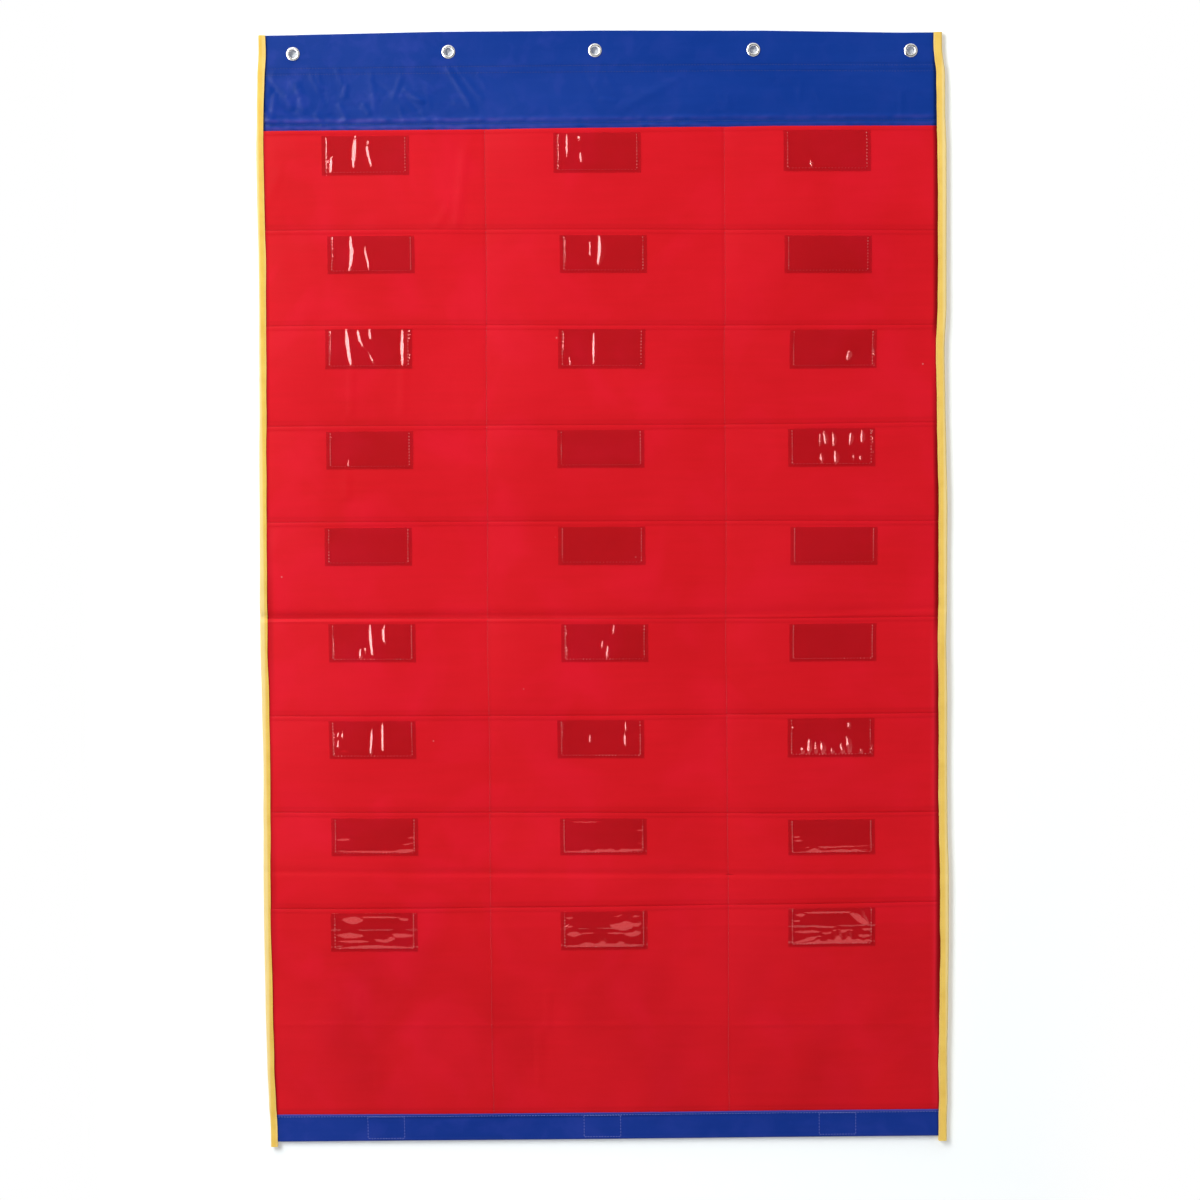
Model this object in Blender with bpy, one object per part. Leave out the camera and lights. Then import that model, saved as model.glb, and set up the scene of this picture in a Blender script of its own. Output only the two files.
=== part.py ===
"""Hanging classroom pocket chart, sewn from coated nylon.

Nine full-width pocket strips lie over one another like roof shingles on a backing
panel. Each strip is sewn down along its bottom edge, caught in the side bindings and
stitched to the panel along two dividers, so it makes three pockets that open at the
top. Every pocket carries a clear vinyl window for a name card. A header with five
grommets hangs the chart, and a folded band with three hook-and-loop patches ends it.

The chart hangs in the XZ plane and faces -Y. The origin is the middle of the grommet
row, in the plane of the wall. "Depth" below always means the distance forward of the
wall, so a point at depth d has y = -d.
"""

import math

import bmesh
import bpy
import numpy as np
from mathutils import Matrix, Vector

# Overall layout
chart_width = 0.711  # over the side bindings
header_height = 0.100  # top edge to the first pocket mouth
row_count = 9
row_pitch = 0.1016  # from one mouth to the next
strip_depth = 0.224  # pocket depth, mouth to bottom seam

# Cloth, and the gap kept between two layers that lie on each other
fabric_thickness = 0.00035
layer_gap = 0.0003

# Pockets: how far a mouth stands open, how square the bulge is, and the two dividers
mouth_gape = 0.009
bulge_power = 2.6
divider_place_shares = (-0.169, 0.178)  # of chart_width, from the middle

# Header: the hem folded to the back, and its laps over its neighbours
header_hem = 0.043
header_tuck = 0.015  # the header runs on this far behind the first strip
backing_lap = 0.012  # the backing runs this far up behind the header
fold_segments = 6

# Bottom band
band_height = 0.0265
band_overlap = 0.009  # how far the band covers the last strip
backing_hem_clear = 0.004  # backing edge to the inside of the fold

# Side bindings
binding_width = 0.008
tape_thickness = 0.0005
tape_bend_radius = 0.0009
binding_tail = 0.005  # the tape ends this far below the band

# Name card windows
window_width = 0.090
window_height = 0.040
window_drop = 0.006  # below the pocket mouth
vinyl_thickness = 0.0003
window_place_shares = (-0.3406, 0.0, 0.334)

# Grommets: an eyelet pressed through the header and clinched over a washer
grommet_drop = 0.0183  # hole centre below the top edge
grommet_place_shares = (-0.4497, -0.2224, -0.0081, 0.2236, 0.4538)
hole_radius = 0.004
barrel_wall = 0.0004
flange_radius = 0.007
flange_height = 0.0012
crest_radius = 0.0054
rim_height = 0.0004
clinch_radius = 0.0056
clinch_height = 0.0005
washer_thickness = 0.0006
washer_dish = 0.0002
round_segments = 20

# Hook-and-loop patches on the back of the bottom band
patch_width = 0.040
patch_height = 0.022
patch_thickness = 0.0018
patch_corner = 0.0015
patch_place_shares = (-0.329, -0.0095, 0.338)

# How finely the pocket strips are divided
side_columns, window_columns = 3, 4
flare_rows, window_rows = 2, 2

cut_overrun = 0.002
smooth_angle = math.radians(35)

# Heights, measured from the grommet row
top_z = grommet_drop
mouth_z = [top_z - header_height - row * row_pitch for row in range(row_count)]
last_seam_z = mouth_z[-1] - strip_depth
band_top_z = last_seam_z + band_overlap
band_bottom_z = band_top_z - band_height
hidden_height = strip_depth - row_pitch  # part of a strip that the next one covers

# Depths of the flat layers, from the wall forwards
band_back = patch_thickness + layer_gap
backing_back = band_back + fabric_thickness + layer_gap
backing_front = backing_back + fabric_thickness
header_back = backing_front + layer_gap
header_front = header_back + fabric_thickness

# The cloth ends just inside the binding's web, and bays lie between its inner edges
cloth_half_width = chart_width / 2 - tape_thickness - layer_gap
bay_half_width = chart_width / 2 - binding_width
dividers = [share * chart_width for share in divider_place_shares]
bay_edges = [-bay_half_width, *dividers, bay_half_width]
bays = list(zip(bay_edges, bay_edges[1:]))
column_names = ("left", "middle", "right")


def layer_rise(up):
    """Offset of a strip from the backing where it lies flat, `up` above its seam.

    It grows by one cloth and one gap for every row, so that two strips that overlap
    stay one gap apart over the whole height they share.
    """
    return layer_gap + (fabric_thickness + layer_gap) * up / row_pitch


def bulge(x):
    """How far a bay stands open at x: 1 at its middle, 0 at its seams."""
    for left, right in bays:
        if left <= x <= right:
            across = (2 * x - left - right) / (right - left)
            return 1 - abs(across) ** bulge_power
    return 0.0


def strip_offset(x, up):
    """Offset of a strip's rear face from the backing's front face.

    offset = layer_rise(up) + gape * sin(quarter turn * height above the next mouth)
    so a strip is flat where the next one covers it, and stands open above that.
    """
    above = min(max((up - hidden_height) / row_pitch, 0.0), 1.0)
    return layer_rise(up) + mouth_gape * bulge(x) * math.sin(math.pi / 2 * above)


def material(name, colour, roughness, metallic=0.0, alpha=1.0):
    """A Principled material with the piece's own colour and finish."""
    made = bpy.data.materials.new(name)
    made.use_nodes = True
    shader = made.node_tree.nodes["Principled BSDF"]
    shader.inputs["Base Color"].default_value = (*colour, 1.0)
    shader.inputs["Roughness"].default_value = roughness
    shader.inputs["Metallic"].default_value = metallic
    shader.inputs["Alpha"].default_value = alpha
    made.diffuse_color = (*colour, alpha)
    return made


def add_piece(name, shape, finish):
    """Turn a closed bmesh into a named object, faces outwards and shaded smooth."""
    bmesh.ops.recalc_face_normals(shape, faces=shape.faces)
    mesh = bpy.data.meshes.new(name)
    shape.to_mesh(mesh)
    shape.free()
    mesh.shade_smooth()
    mesh.set_sharp_from_angle(angle=smooth_angle)
    mesh.materials.append(finish)
    piece = bpy.data.objects.new(name, mesh)
    bpy.context.scene.collection.objects.link(piece)
    return piece


def sheet(name, columns, heights, rear_depth, thickness, finish):
    """A sheet over a grid of x and z lines: its rear face, extruded forwards."""
    shape = bmesh.new()
    grid = [
        [shape.verts.new((x, -rear_depth(x, z), z)) for x in columns] for z in heights
    ]
    for low, high in zip(grid, grid[1:]):
        for a, b, c, d in zip(low, low[1:], high[1:], high):
            shape.faces.new((a, b, c, d))
    front = bmesh.ops.extrude_face_region(shape, geom=list(shape.faces))["geom"]
    moved = [part for part in front if isinstance(part, bmesh.types.BMVert)]
    bmesh.ops.translate(shape, verts=moved, vec=(0, -thickness, 0))
    return add_piece(name, shape, finish)


def ribbon(path, thickness):
    """The closed outline of a strip of the given thickness along a path in a plane."""
    path = np.array(path)
    along = np.gradient(path, axis=0)
    along /= np.linalg.norm(along, axis=1)[:, None]
    across = np.stack([-along[:, 1], along[:, 0]], axis=1) * thickness / 2
    return np.concatenate([path + across, (path - across)[::-1]])


def arc(centre, radius, start, end, segments):
    """Points of an arc, with its angles in degrees."""
    angles = np.radians(np.linspace(start, end, segments + 1))
    return [
        (centre[0] + radius * math.cos(a), centre[1] + radius * math.sin(a))
        for a in angles
    ]


def extruded(name, outline, start, sweep, place, finish):
    """A flat outline swept along a straight line. place(u, v, start) gives a point."""
    shape = bmesh.new()
    face = shape.faces.new([shape.verts.new(place(u, v, start)) for u, v in outline])
    swept = bmesh.ops.extrude_face_region(shape, geom=[face])["geom"]
    moved = [part for part in swept if isinstance(part, bmesh.types.BMVert)]
    bmesh.ops.translate(shape, verts=moved, vec=sweep)
    return add_piece(name, shape, finish)


def turned(name, section, centre, finish):
    """A closed section of (radius, depth) points, turned about a line along Y."""
    shape = bmesh.new()
    ring = [shape.verts.new((radius, -depth, 0)) for radius, depth in section]
    edges = [shape.edges.new(pair) for pair in zip(ring, ring[1:] + ring[:1])]
    bmesh.ops.spin(
        shape,
        geom=ring + edges,
        cent=(0, 0, 0),
        axis=(0, 1, 0),
        angle=math.tau,
        steps=round_segments,
        use_merge=True,
    )
    piece = add_piece(name, shape, finish)
    piece.location = centre
    return piece


def build_materials():
    """One finish for each cloth, film and metal of the chart."""
    return {
        "red": material("red_nylon", (0.70, 0.012, 0.022), 0.45),
        "blue": material("blue_nylon", (0.014, 0.045, 0.30), 0.45),
        "navy": material("navy_nylon", (0.016, 0.034, 0.22), 0.45),
        "yellow": material("yellow_binding", (0.94, 0.55, 0.08), 0.6),
        "vinyl": material("clear_vinyl", (0.9, 0.85, 0.85), 0.1, alpha=0.3),
        "nickel": material("nickel", (0.75, 0.74, 0.72), 0.25, metallic=1.0),
        "patch": material("hook_and_loop", (0.02, 0.03, 0.12), 0.9),
    }


def strip_columns():
    """The x lines of a strip. Each window's edges are among them, so that a window
    made over the same lines follows its strip facet by facet."""
    lines = [-cloth_half_width]
    for (left, right), share in zip(bays, window_place_shares):
        start = share * chart_width - window_width / 2
        end = start + window_width
        lines += list(np.linspace(left, start, side_columns + 1))
        lines += list(np.linspace(start, end, window_columns + 1))[1:-1]
        lines += list(np.linspace(end, right, side_columns + 1))[:-1]
    return lines + [bay_half_width, cloth_half_width]


def window_columns_of(share):
    """The x lines of one window."""
    start = share * chart_width - window_width / 2
    return list(np.linspace(start, start + window_width, window_columns + 1))


def window_heights():
    """Heights above the seam of a window's z lines."""
    top = strip_depth - window_drop
    return list(np.linspace(top - window_height, top, window_rows + 1))


def strip_heights():
    """Heights above the seam of a strip's z lines."""
    window = window_heights()
    flare = list(np.linspace(hidden_height, window[0], flare_rows + 1))
    return [0.0, *flare, *window[1:], strip_depth]


def build_backing(finish):
    """The flat panel that everything is sewn to."""
    return sheet(
        "backing_panel",
        [-cloth_half_width, cloth_half_width],
        [band_bottom_z + backing_hem_clear, mouth_z[0] + backing_lap],
        lambda x, z: backing_back,
        fabric_thickness,
        finish,
    )


def build_header(finish):
    """The header, folded over at the top, with a hole through both plies for each
    grommet's barrel."""
    front, back = header_front - fabric_thickness / 2, backing_back + fabric_thickness / 2
    radius = (front - back) / 2
    middle = (front + back) / 2
    fold = arc((middle, top_z - radius - fabric_thickness / 2), radius, 0, 180, fold_segments)
    path = [
        (front, mouth_z[0] - header_tuck),
        *fold,
        (back, top_z - header_hem),
    ]
    piece = extruded(
        "header_band",
        ribbon(path, fabric_thickness),
        -cloth_half_width,
        (2 * cloth_half_width, 0, 0),
        lambda depth, z, x: (x, -depth, z),
        finish,
    )
    holes = bmesh.new()
    length = header_front - backing_back + 2 * cut_overrun
    for share in grommet_place_shares:
        centre = Vector((share * chart_width, -middle, 0))
        bmesh.ops.create_cone(
            holes,
            cap_ends=True,
            segments=round_segments,
            radius1=hole_radius + barrel_wall + layer_gap,
            radius2=hole_radius + barrel_wall + layer_gap,
            depth=length,
            matrix=Matrix.Translation(centre) @ Matrix.Rotation(math.pi / 2, 4, "X"),
        )
    cutter = add_piece("header_hole_cutter", holes, finish)
    cutter.hide_render = True
    cutter.display_type = "WIRE"
    cut = piece.modifiers.new("grommet_holes", "BOOLEAN")
    cut.operation = "DIFFERENCE"
    cut.solver = "EXACT"
    cut.object = cutter
    return piece


def build_bottom_band(finish):
    """The band folded up round the bottom edges of the backing and the last strip."""
    last_front = backing_front + layer_rise(band_overlap) + fabric_thickness
    front = last_front + layer_gap + fabric_thickness / 2
    back = band_back + fabric_thickness / 2
    radius = (front - back) / 2
    centre = ((front + back) / 2, band_bottom_z + radius + fabric_thickness / 2)
    path = [
        (back, band_top_z),
        *arc(centre, radius, 180, 360, fold_segments),
        (front, band_top_z),
    ]
    return extruded(
        "bottom_band",
        ribbon(path, fabric_thickness),
        -cloth_half_width,
        (2 * cloth_half_width, 0, 0),
        lambda depth, z, x: (x, -depth, z),
        finish,
    )


def build_binding(side, name, finish):
    """The tape folded round one side edge, from the top edge past the band."""
    deepest = backing_front + layer_rise(strip_depth) + fabric_thickness
    front = deepest + layer_gap + tape_thickness / 2
    back = band_back - layer_gap - tape_thickness / 2
    web = chart_width / 2 - tape_thickness / 2
    bend = tape_bend_radius
    path = [
        (chart_width / 2 - binding_width, back),
        *arc((web - bend, back + bend), bend, -90, 0, fold_segments // 2),
        *arc((web - bend, front - bend), bend, 0, 90, fold_segments // 2),
        (chart_width / 2 - binding_width, front),
    ]
    low = band_bottom_z - binding_tail
    return extruded(
        name,
        ribbon(path, tape_thickness),
        low,
        (0, 0, top_z - low),
        lambda across, depth, z: (side * across, -depth, z),
        finish,
    )


def build_strip(row, finish):
    """One full-width pocket strip."""
    seam_z = mouth_z[row] - strip_depth
    return sheet(
        f"pocket_strip_{row + 1}",
        strip_columns(),
        [seam_z + up for up in strip_heights()],
        lambda x, z: backing_front + strip_offset(x, z - seam_z),
        fabric_thickness,
        finish,
    )


def build_window(row, column, finish):
    """One clear window, a gap in front of its strip."""
    seam_z = mouth_z[row] - strip_depth
    lift = backing_front + fabric_thickness + layer_gap
    return sheet(
        f"card_window_{row + 1}_{column_names[column]}",
        window_columns_of(window_place_shares[column]),
        [seam_z + up for up in window_heights()],
        lambda x, z: lift + strip_offset(x, z - seam_z),
        vinyl_thickness,
        finish,
    )


def build_grommet(number, share, finish):
    """An eyelet with a domed flange in front and a clinched lip behind, and the washer
    that the lip holds against the hem."""
    x = share * chart_width
    seat = header_front + layer_gap
    crest = seat + flange_height
    barrel = hole_radius + barrel_wall
    washer_front = backing_back - layer_gap
    washer_back = washer_front - washer_thickness
    lip_front = washer_back - layer_gap
    lip_back = lip_front - clinch_height
    dome = (flange_radius + crest_radius) / 2
    throat = (hole_radius + crest_radius) / 2
    shoulder = (crest + seat + rim_height) / 2
    turned(
        f"grommet_eyelet_{number}",
        [
            (hole_radius, lip_back + clinch_height),
            (barrel, lip_back),
            (clinch_radius, lip_back + clinch_height / 2),
            (clinch_radius, lip_front),
            (barrel, lip_front),
            (barrel, seat),
            (flange_radius, seat),
            (flange_radius, seat + rim_height),
            (dome, (shoulder + crest) / 2),
            (crest_radius, crest),
            (throat, (shoulder + crest) / 2),
            (hole_radius, shoulder),
        ],
        (x, 0, 0),
        finish,
    )
    inner = barrel + layer_gap
    turned(
        f"grommet_washer_{number}",
        [
            (inner, washer_back),
            (flange_radius - washer_thickness, washer_back),
            (flange_radius, washer_front - washer_dish),
            (flange_radius, washer_front),
            (inner, washer_front),
        ],
        (x, 0, 0),
        finish,
    )


def build_patch(number, share, finish):
    """A hook-and-loop patch with rounded corners, sewn to the back of the band."""
    shape = bmesh.new()
    bmesh.ops.create_cube(shape, size=1)
    bmesh.ops.scale(shape, vec=(patch_width, patch_thickness, patch_height), verts=shape.verts)
    upright = [
        edge
        for edge in shape.edges
        if abs(edge.verts[0].co.y - edge.verts[1].co.y) > patch_thickness / 2
    ]
    bmesh.ops.bevel(
        shape, geom=upright, offset=patch_corner, segments=3, profile=0.5, affect="EDGES"
    )
    piece = add_piece(f"hook_loop_patch_{number}", shape, finish)
    middle_z = (band_top_z + band_bottom_z) / 2
    piece.location = (share * chart_width, -patch_thickness / 2, middle_z)


def main():
    """Clear the scene and build every piece of the chart."""
    for old in list(bpy.data.objects):
        bpy.data.objects.remove(old)
    finish = build_materials()
    build_backing(finish["red"])
    build_header(finish["blue"])
    build_bottom_band(finish["navy"])
    build_binding(-1, "side_binding_left", finish["yellow"])
    build_binding(1, "side_binding_right", finish["yellow"])
    for row in range(row_count):
        build_strip(row, finish["red"])
        for column in range(len(bays)):
            build_window(row, column, finish["vinyl"])
    for number, share in enumerate(grommet_place_shares, start=1):
        build_grommet(number, share, finish["nickel"])
    for number, share in enumerate(patch_place_shares, start=1):
        build_patch(number, share, finish["patch"])


main()
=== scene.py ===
# %% [markdown]
# # A hanging pocket chart
#
# The real object is a classroom pocket chart: coated nylon, nine rows of pockets, a blue header with five
# grommets, a dark blue hem at the foot and yellow tape round the sides. Twenty-seven clear vinyl windows
# hold name cards.
#
# Nearly everything on it is thin, flat and sewn. So this lesson is about thin cloth: how a sheet is worked
# out as one formula over a grid, how many layers are kept in order, and how stitches, puckers and creases
# make flat cloth look like cloth.

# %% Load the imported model
import math

import bpy
import numpy as np
from mathutils import Matrix


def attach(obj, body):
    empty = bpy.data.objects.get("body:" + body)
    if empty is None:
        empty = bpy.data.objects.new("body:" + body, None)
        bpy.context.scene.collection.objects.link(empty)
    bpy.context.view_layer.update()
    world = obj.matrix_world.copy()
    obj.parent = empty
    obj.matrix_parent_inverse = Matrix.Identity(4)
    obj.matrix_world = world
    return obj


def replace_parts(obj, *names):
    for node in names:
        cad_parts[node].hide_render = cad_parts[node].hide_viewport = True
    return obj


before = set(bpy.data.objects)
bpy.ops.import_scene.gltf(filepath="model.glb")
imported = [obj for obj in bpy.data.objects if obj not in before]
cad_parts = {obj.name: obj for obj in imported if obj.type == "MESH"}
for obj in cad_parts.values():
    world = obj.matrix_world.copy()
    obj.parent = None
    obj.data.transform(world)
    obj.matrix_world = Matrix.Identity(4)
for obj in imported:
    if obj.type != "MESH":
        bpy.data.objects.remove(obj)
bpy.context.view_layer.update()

# %% [markdown]
# ## The frame of reference
#
# The chart hangs in a plane: X runs to the right, Z up, and the cloth faces -Y. The middle of the grommet
# row is the origin and the wall is the plane y = 0. "Depth" is the distance forward of the wall, so a
# point at depth d has y = -d. The solids keep a small gap between any two layers, and the same steps are
# repeated here, so every dressed piece lies where its solid lies.

# %% Sizes of the chart, in metres
CHART_WIDTH = 0.711
TOP_Z = 0.0183
HEADER_HEIGHT = 0.100
HEADER_HEM = 0.043
HEADER_TUCK = 0.015
ROWS = 9
ROW_PITCH = 0.1016
STRIP_LENGTH = 0.224
CLOTH = 0.00035
GAP = 0.0003
BINDING_WIDTH = 0.008
TAPE = 0.0005
TAIL = 0.005
BAND_OVERLAP = 0.009
BAND_HEIGHT = 0.0265
WINDOW_WIDTH, WINDOW_HEIGHT, WINDOW_DROP = 0.090, 0.040, 0.006
VINYL = 0.0003
GROMMET_SHARES = (-0.4497, -0.2224, -0.0081, 0.2236, 0.4538)
WINDOW_SHARES = (-0.3406, 0.0, 0.334)
DIVIDER_SHARES = (-0.169, 0.178)
PATCH_SHARES = (-0.329, -0.0095, 0.338)
PATCH_WIDTH, PATCH_HEIGHT, PATCH_DEPTH = 0.040, 0.022, 0.0018

MOUTHS = TOP_Z - HEADER_HEIGHT - ROW_PITCH * np.arange(ROWS)
SEAMS = MOUTHS - STRIP_LENGTH
HIDDEN = STRIP_LENGTH - ROW_PITCH
BAND_TOP = SEAMS[-1] + BAND_OVERLAP
BAND_BOTTOM = BAND_TOP - BAND_HEIGHT
CLOTH_HALF = CHART_WIDTH / 2 - TAPE - GAP
BAY_HALF = CHART_WIDTH / 2 - BINDING_WIDTH
DIVIDERS = [share * CHART_WIDTH for share in DIVIDER_SHARES]
BAY_EDGES = np.array([-BAY_HALF, *DIVIDERS, BAY_HALF])
COLUMN_NAMES = ("left", "middle", "right")

BAND_BACK = PATCH_DEPTH + GAP
BACKING_BACK = BAND_BACK + CLOTH + GAP
BACKING_FRONT = BACKING_BACK + CLOTH
HEADER_BACK = BACKING_FRONT + GAP
HEADER_FRONT = HEADER_BACK + CLOTH
print(f"mouths from z {MOUTHS[0]:.4f} to {MOUTHS[-1]:.4f}, band {BAND_TOP:.4f} to {BAND_BOTTOM:.4f}")

# %% [markdown]
# ## Camera
#
# A product photograph like this one is taken from far away with a long lens, so that upright edges stay
# nearly parallel. The camera stands 3.2 m off with a 92 mm lens. It looks down by a little over two
# degrees and leans by half a degree, which is why the real chart seems to hang very slightly askew.

# %% Camera
CAMERA_DISTANCE = 3.2
CAMERA_PITCH = math.radians(2.274)
CAMERA_ROLL = -0.00837
CAMERA_TARGET = np.array([-0.00433, 0.0, -0.56996])
FOCAL_LENGTH_MM, SENSOR_WIDTH_MM, VIEW_END = 92.0, 36.0, 60.0


def camera_axes(pitch, roll):
    """The camera's right, up and backward directions: level axes, pitched, then turned about the line of
    sight."""
    level_right = np.array([1.0, 0.0, 0.0])
    level_up = np.array([0.0, math.sin(pitch), math.cos(pitch)])
    ahead = np.array([0.0, math.cos(pitch), -math.sin(pitch)])
    right = math.cos(roll) * level_right + math.sin(roll) * level_up
    up = -math.sin(roll) * level_right + math.cos(roll) * level_up
    return right, up, -ahead


def place_object(thing, location, right, up, back):
    """Put an object at a place, with its own three axes along the given directions."""
    axes = np.stack([right, up, back], axis=1)
    rows = [(*map(float, row), float(at)) for row, at in zip(axes, location)]
    thing.matrix_world = Matrix([*rows, (0, 0, 0, 1)])


lens = bpy.data.cameras.new("camera")
lens.lens, lens.sensor_width, lens.clip_end = FOCAL_LENGTH_MM, SENSOR_WIDTH_MM, VIEW_END
camera = bpy.data.objects.new("camera", lens)
bpy.context.scene.collection.objects.link(camera)
right, up, back = camera_axes(CAMERA_PITCH, CAMERA_ROLL)
VIEWER = CAMERA_TARGET + CAMERA_DISTANCE * back
place_object(camera, VIEWER, right, up, back)
bpy.context.scene.camera = camera
bpy.context.scene.view_settings.view_transform = "Standard"
print("camera at", np.round(VIEWER, 4))

# %% [markdown]
# ## Helpers for materials
#
# Every finish below is a small tree of nodes. Writing each node by hand takes five lines, so one helper
# adds a node, sets its properties and fills its sockets. A socket that is given another node's output is
# linked to it. The shorter helpers after it give names to the few kinds of node that every finish uses.


# %% Node helpers
def add_node(tree, kind, settings=None, sockets=None):
    """Add a node. settings are its properties, and sockets are values or outputs for its inputs."""
    node = tree.nodes.new(kind)
    for name, value in (settings or {}).items():
        setattr(node, name, value)
    for name, value in (sockets or {}).items():
        if isinstance(value, bpy.types.NodeSocket):
            tree.links.new(value, node.inputs[name])
        else:
            node.inputs[name].default_value = value
    return node


def math_node(tree, operation, *values):
    """One Math node's output."""
    return add_node(tree, "ShaderNodeMath", {"operation": operation}, dict(enumerate(values))).outputs[0]


def highest(tree, first, *others):
    """The largest of several values."""
    for other in others:
        first = math_node(tree, "MAXIMUM", first, other)
    return first


def weighted_sum(tree, *parts):
    """The sum of value * weight over pairs (value, weight)."""
    total, *others = [math_node(tree, "MULTIPLY", value, weight) for value, weight in parts]
    for other in others:
        total = math_node(tree, "ADD", total, other)
    return total


def ripple(tree, value, pitch):
    """sin(2 pi * value / pitch), a wave along a coordinate."""
    return math_node(tree, "SINE", math_node(tree, "MULTIPLY", value, math.tau / pitch))


def to_share(tree, wave):
    """A wave from -1 to 1, brought to 0 to 1."""
    return math_node(tree, "MULTIPLY_ADD", wave, 0.5, 0.5)


def remap(tree, value, start, end, low=0.0, high=1.0, soft=False):
    """low at start and high at end, and between them a straight line or, if soft, a smooth step."""
    settings = {"interpolation_type": "SMOOTHSTEP" if soft else "LINEAR"}
    sockets = {0: value, 1: start, 2: end, 3: low, 4: high}
    return add_node(tree, "ShaderNodeMapRange", settings, sockets).outputs[0]


def blend(tree, share, first, second):
    """The first colour where share is 0, the second where it is 1. Each is three numbers or an output."""
    first, second = ((*colour, 1) if isinstance(colour, tuple) else colour for colour in (first, second))
    return add_node(tree, "ShaderNodeMix", {"data_type": "RGBA"}, {0: share, 6: first, 7: second}).outputs[2]


def noise(tree, place, scale, detail, **others):
    """The value of a noise texture. others are its further sockets."""
    sockets = {"Vector": place, "Scale": scale, "Detail": detail, **others}
    return add_node(tree, "ShaderNodeTexNoise", sockets=sockets).outputs[0]


def bump(tree, height, distance, strength=1.0, normal=None):
    """The direction of the surface once height * distance stands on it."""
    sockets = {"Strength": strength, "Distance": distance, "Height": height}
    if normal is not None:
        sockets["Normal"] = normal
    return add_node(tree, "ShaderNodeBump", sockets=sockets).outputs[0]


def stored(tree, name):
    """The number that each point of the mesh holds under this name."""
    return add_node(tree, "ShaderNodeAttribute", {"attribute_name": name}).outputs["Fac"]


def separate(tree, vector):
    """The x, y and z of a vector."""
    return add_node(tree, "ShaderNodeSeparateXYZ", sockets={0: vector}).outputs


def mix_shaders(tree, share, first, second):
    """The first shader where share is 0, the second where it is 1."""
    return add_node(tree, "ShaderNodeMixShader", sockets={0: share, 1: first, 2: second}).outputs[0]


def principled(tree, colour, roughness, normal, others):
    """The general shader. others are its further sockets."""
    sockets = {"Base Color": colour, "Roughness": roughness, "Normal": normal, **others}
    return add_node(tree, "ShaderNodeBsdfPrincipled", sockets=sockets).outputs[0]


def new_material(name):
    """A material with no nodes yet, its tree, and the place of a point in its object's own coordinates."""
    made = bpy.data.materials.new(name)
    made.use_nodes = True
    tree = made.node_tree
    tree.nodes.clear()
    return made, tree, add_node(tree, "ShaderNodeTexCoord").outputs["Object"]


def with_surface(made, surface):
    """The material, once its surface is linked to its output."""
    add_node(made.node_tree, "ShaderNodeOutputMaterial", sockets={"Surface": surface})
    return made


# %% [markdown]
# ## Wall, floor and light
#
# The photograph is a studio shot on white: the chart throws a tight, soft shadow to the right and below,
# because the lamp stands high on the left. A white wall right behind the chart catches that shadow. For
# the camera it is lifted to white with a little emission, and further from the chart it fades to plain
# white.
#
# The wall is seen only from the front, and throws no shadow itself, so the back of the chart can be looked
# at in good light. A large soft box high on the left is the key lamp. Below it stands a narrow strip lamp,
# which shows only in gloss: upright ridges in the clear vinyl mirror it as streaks. A bright ceiling and
# pale sides of the room fill the rest. Only the part of the room behind the camera is dark, because that
# is the part that flat clear vinyl mirrors. The floor ends 1.7 m in front, so only the lowest windows can
# mirror it, and only where their film is tipped down.

# %% World
world = bpy.data.worlds.new("studio")
bpy.context.scene.world = world
world.use_nodes = True
tree = world.node_tree
tree.nodes.clear()
WHITE = (1.0, 1.0, 1.0, 1.0)
CAMERA_SIDE, LEFT_SIDE, RIGHT_SIDE, CEILING, WALL_SIDE = 0.015, 0.39, 0.83, 1.25, 0.9
direction = add_node(tree, "ShaderNodeTexCoord").outputs["Generated"]
to_right, to_wall, to_ceiling = separate(tree, direction)
wall_side = remap(tree, to_wall, 0.0, 0.35, soft=True)
sides = remap(tree, to_right, -0.8, 0.8, LEFT_SIDE, RIGHT_SIDE)
walls = remap(tree, to_wall, -0.94, -0.62, CAMERA_SIDE, sides, soft=True)
overhead = remap(tree, to_ceiling, 0.45, 0.85, 0.0, CEILING, soft=True)
room = highest(tree, walls, overhead, math_node(tree, "MULTIPLY", wall_side, WALL_SIDE))
rays = add_node(tree, "ShaderNodeLightPath").outputs
mirrored = math_node(tree, "MULTIPLY", rays["Is Glossy Ray"], wall_side)
strength = highest(tree, room, rays["Is Camera Ray"], rays["Is Transmission Ray"], mirrored)
light = add_node(tree, "ShaderNodeBackground", sockets={"Color": WHITE, "Strength": strength})
add_node(tree, "ShaderNodeOutputWorld", sockets={"Surface": light.outputs[0]})
print("world: behind the camera", CAMERA_SIDE, "sides", LEFT_SIDE, RIGHT_SIDE, "ceiling", CEILING)

# %% Lamps
CHART_MIDDLE = np.array([0.0, 0.0, -0.57])


def away_from_chart(azimuth, elevation):
    """A direction on a sphere round the chart. Azimuth 0 is straight in front, and a negative one is to the
    left."""
    turn, lift = math.radians(azimuth), math.radians(elevation)
    return np.array([math.sin(turn) * math.cos(lift), -math.cos(turn) * math.cos(lift), math.sin(lift)])


def soft_box(name, azimuth, elevation, distance, size, watts):
    """A rectangular area lamp at a distance from the chart's middle, facing it."""
    turn = math.radians(azimuth)
    away = away_from_chart(azimuth, elevation)
    side = np.array([math.cos(turn), math.sin(turn), 0.0])
    lamp = bpy.data.lights.new(name, "AREA")
    lamp.shape, lamp.size, lamp.size_y, lamp.energy = "RECTANGLE", *size, watts
    holder = bpy.data.objects.new(name, lamp)
    bpy.context.scene.collection.objects.link(holder)
    place_object(holder, CHART_MIDDLE + distance * away, side, np.cross(away, side), away)
    print(f"{name}: lights the middle to {-watts * away[1] / (math.pi * distance) ** 2:.2f}")
    return holder


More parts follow.
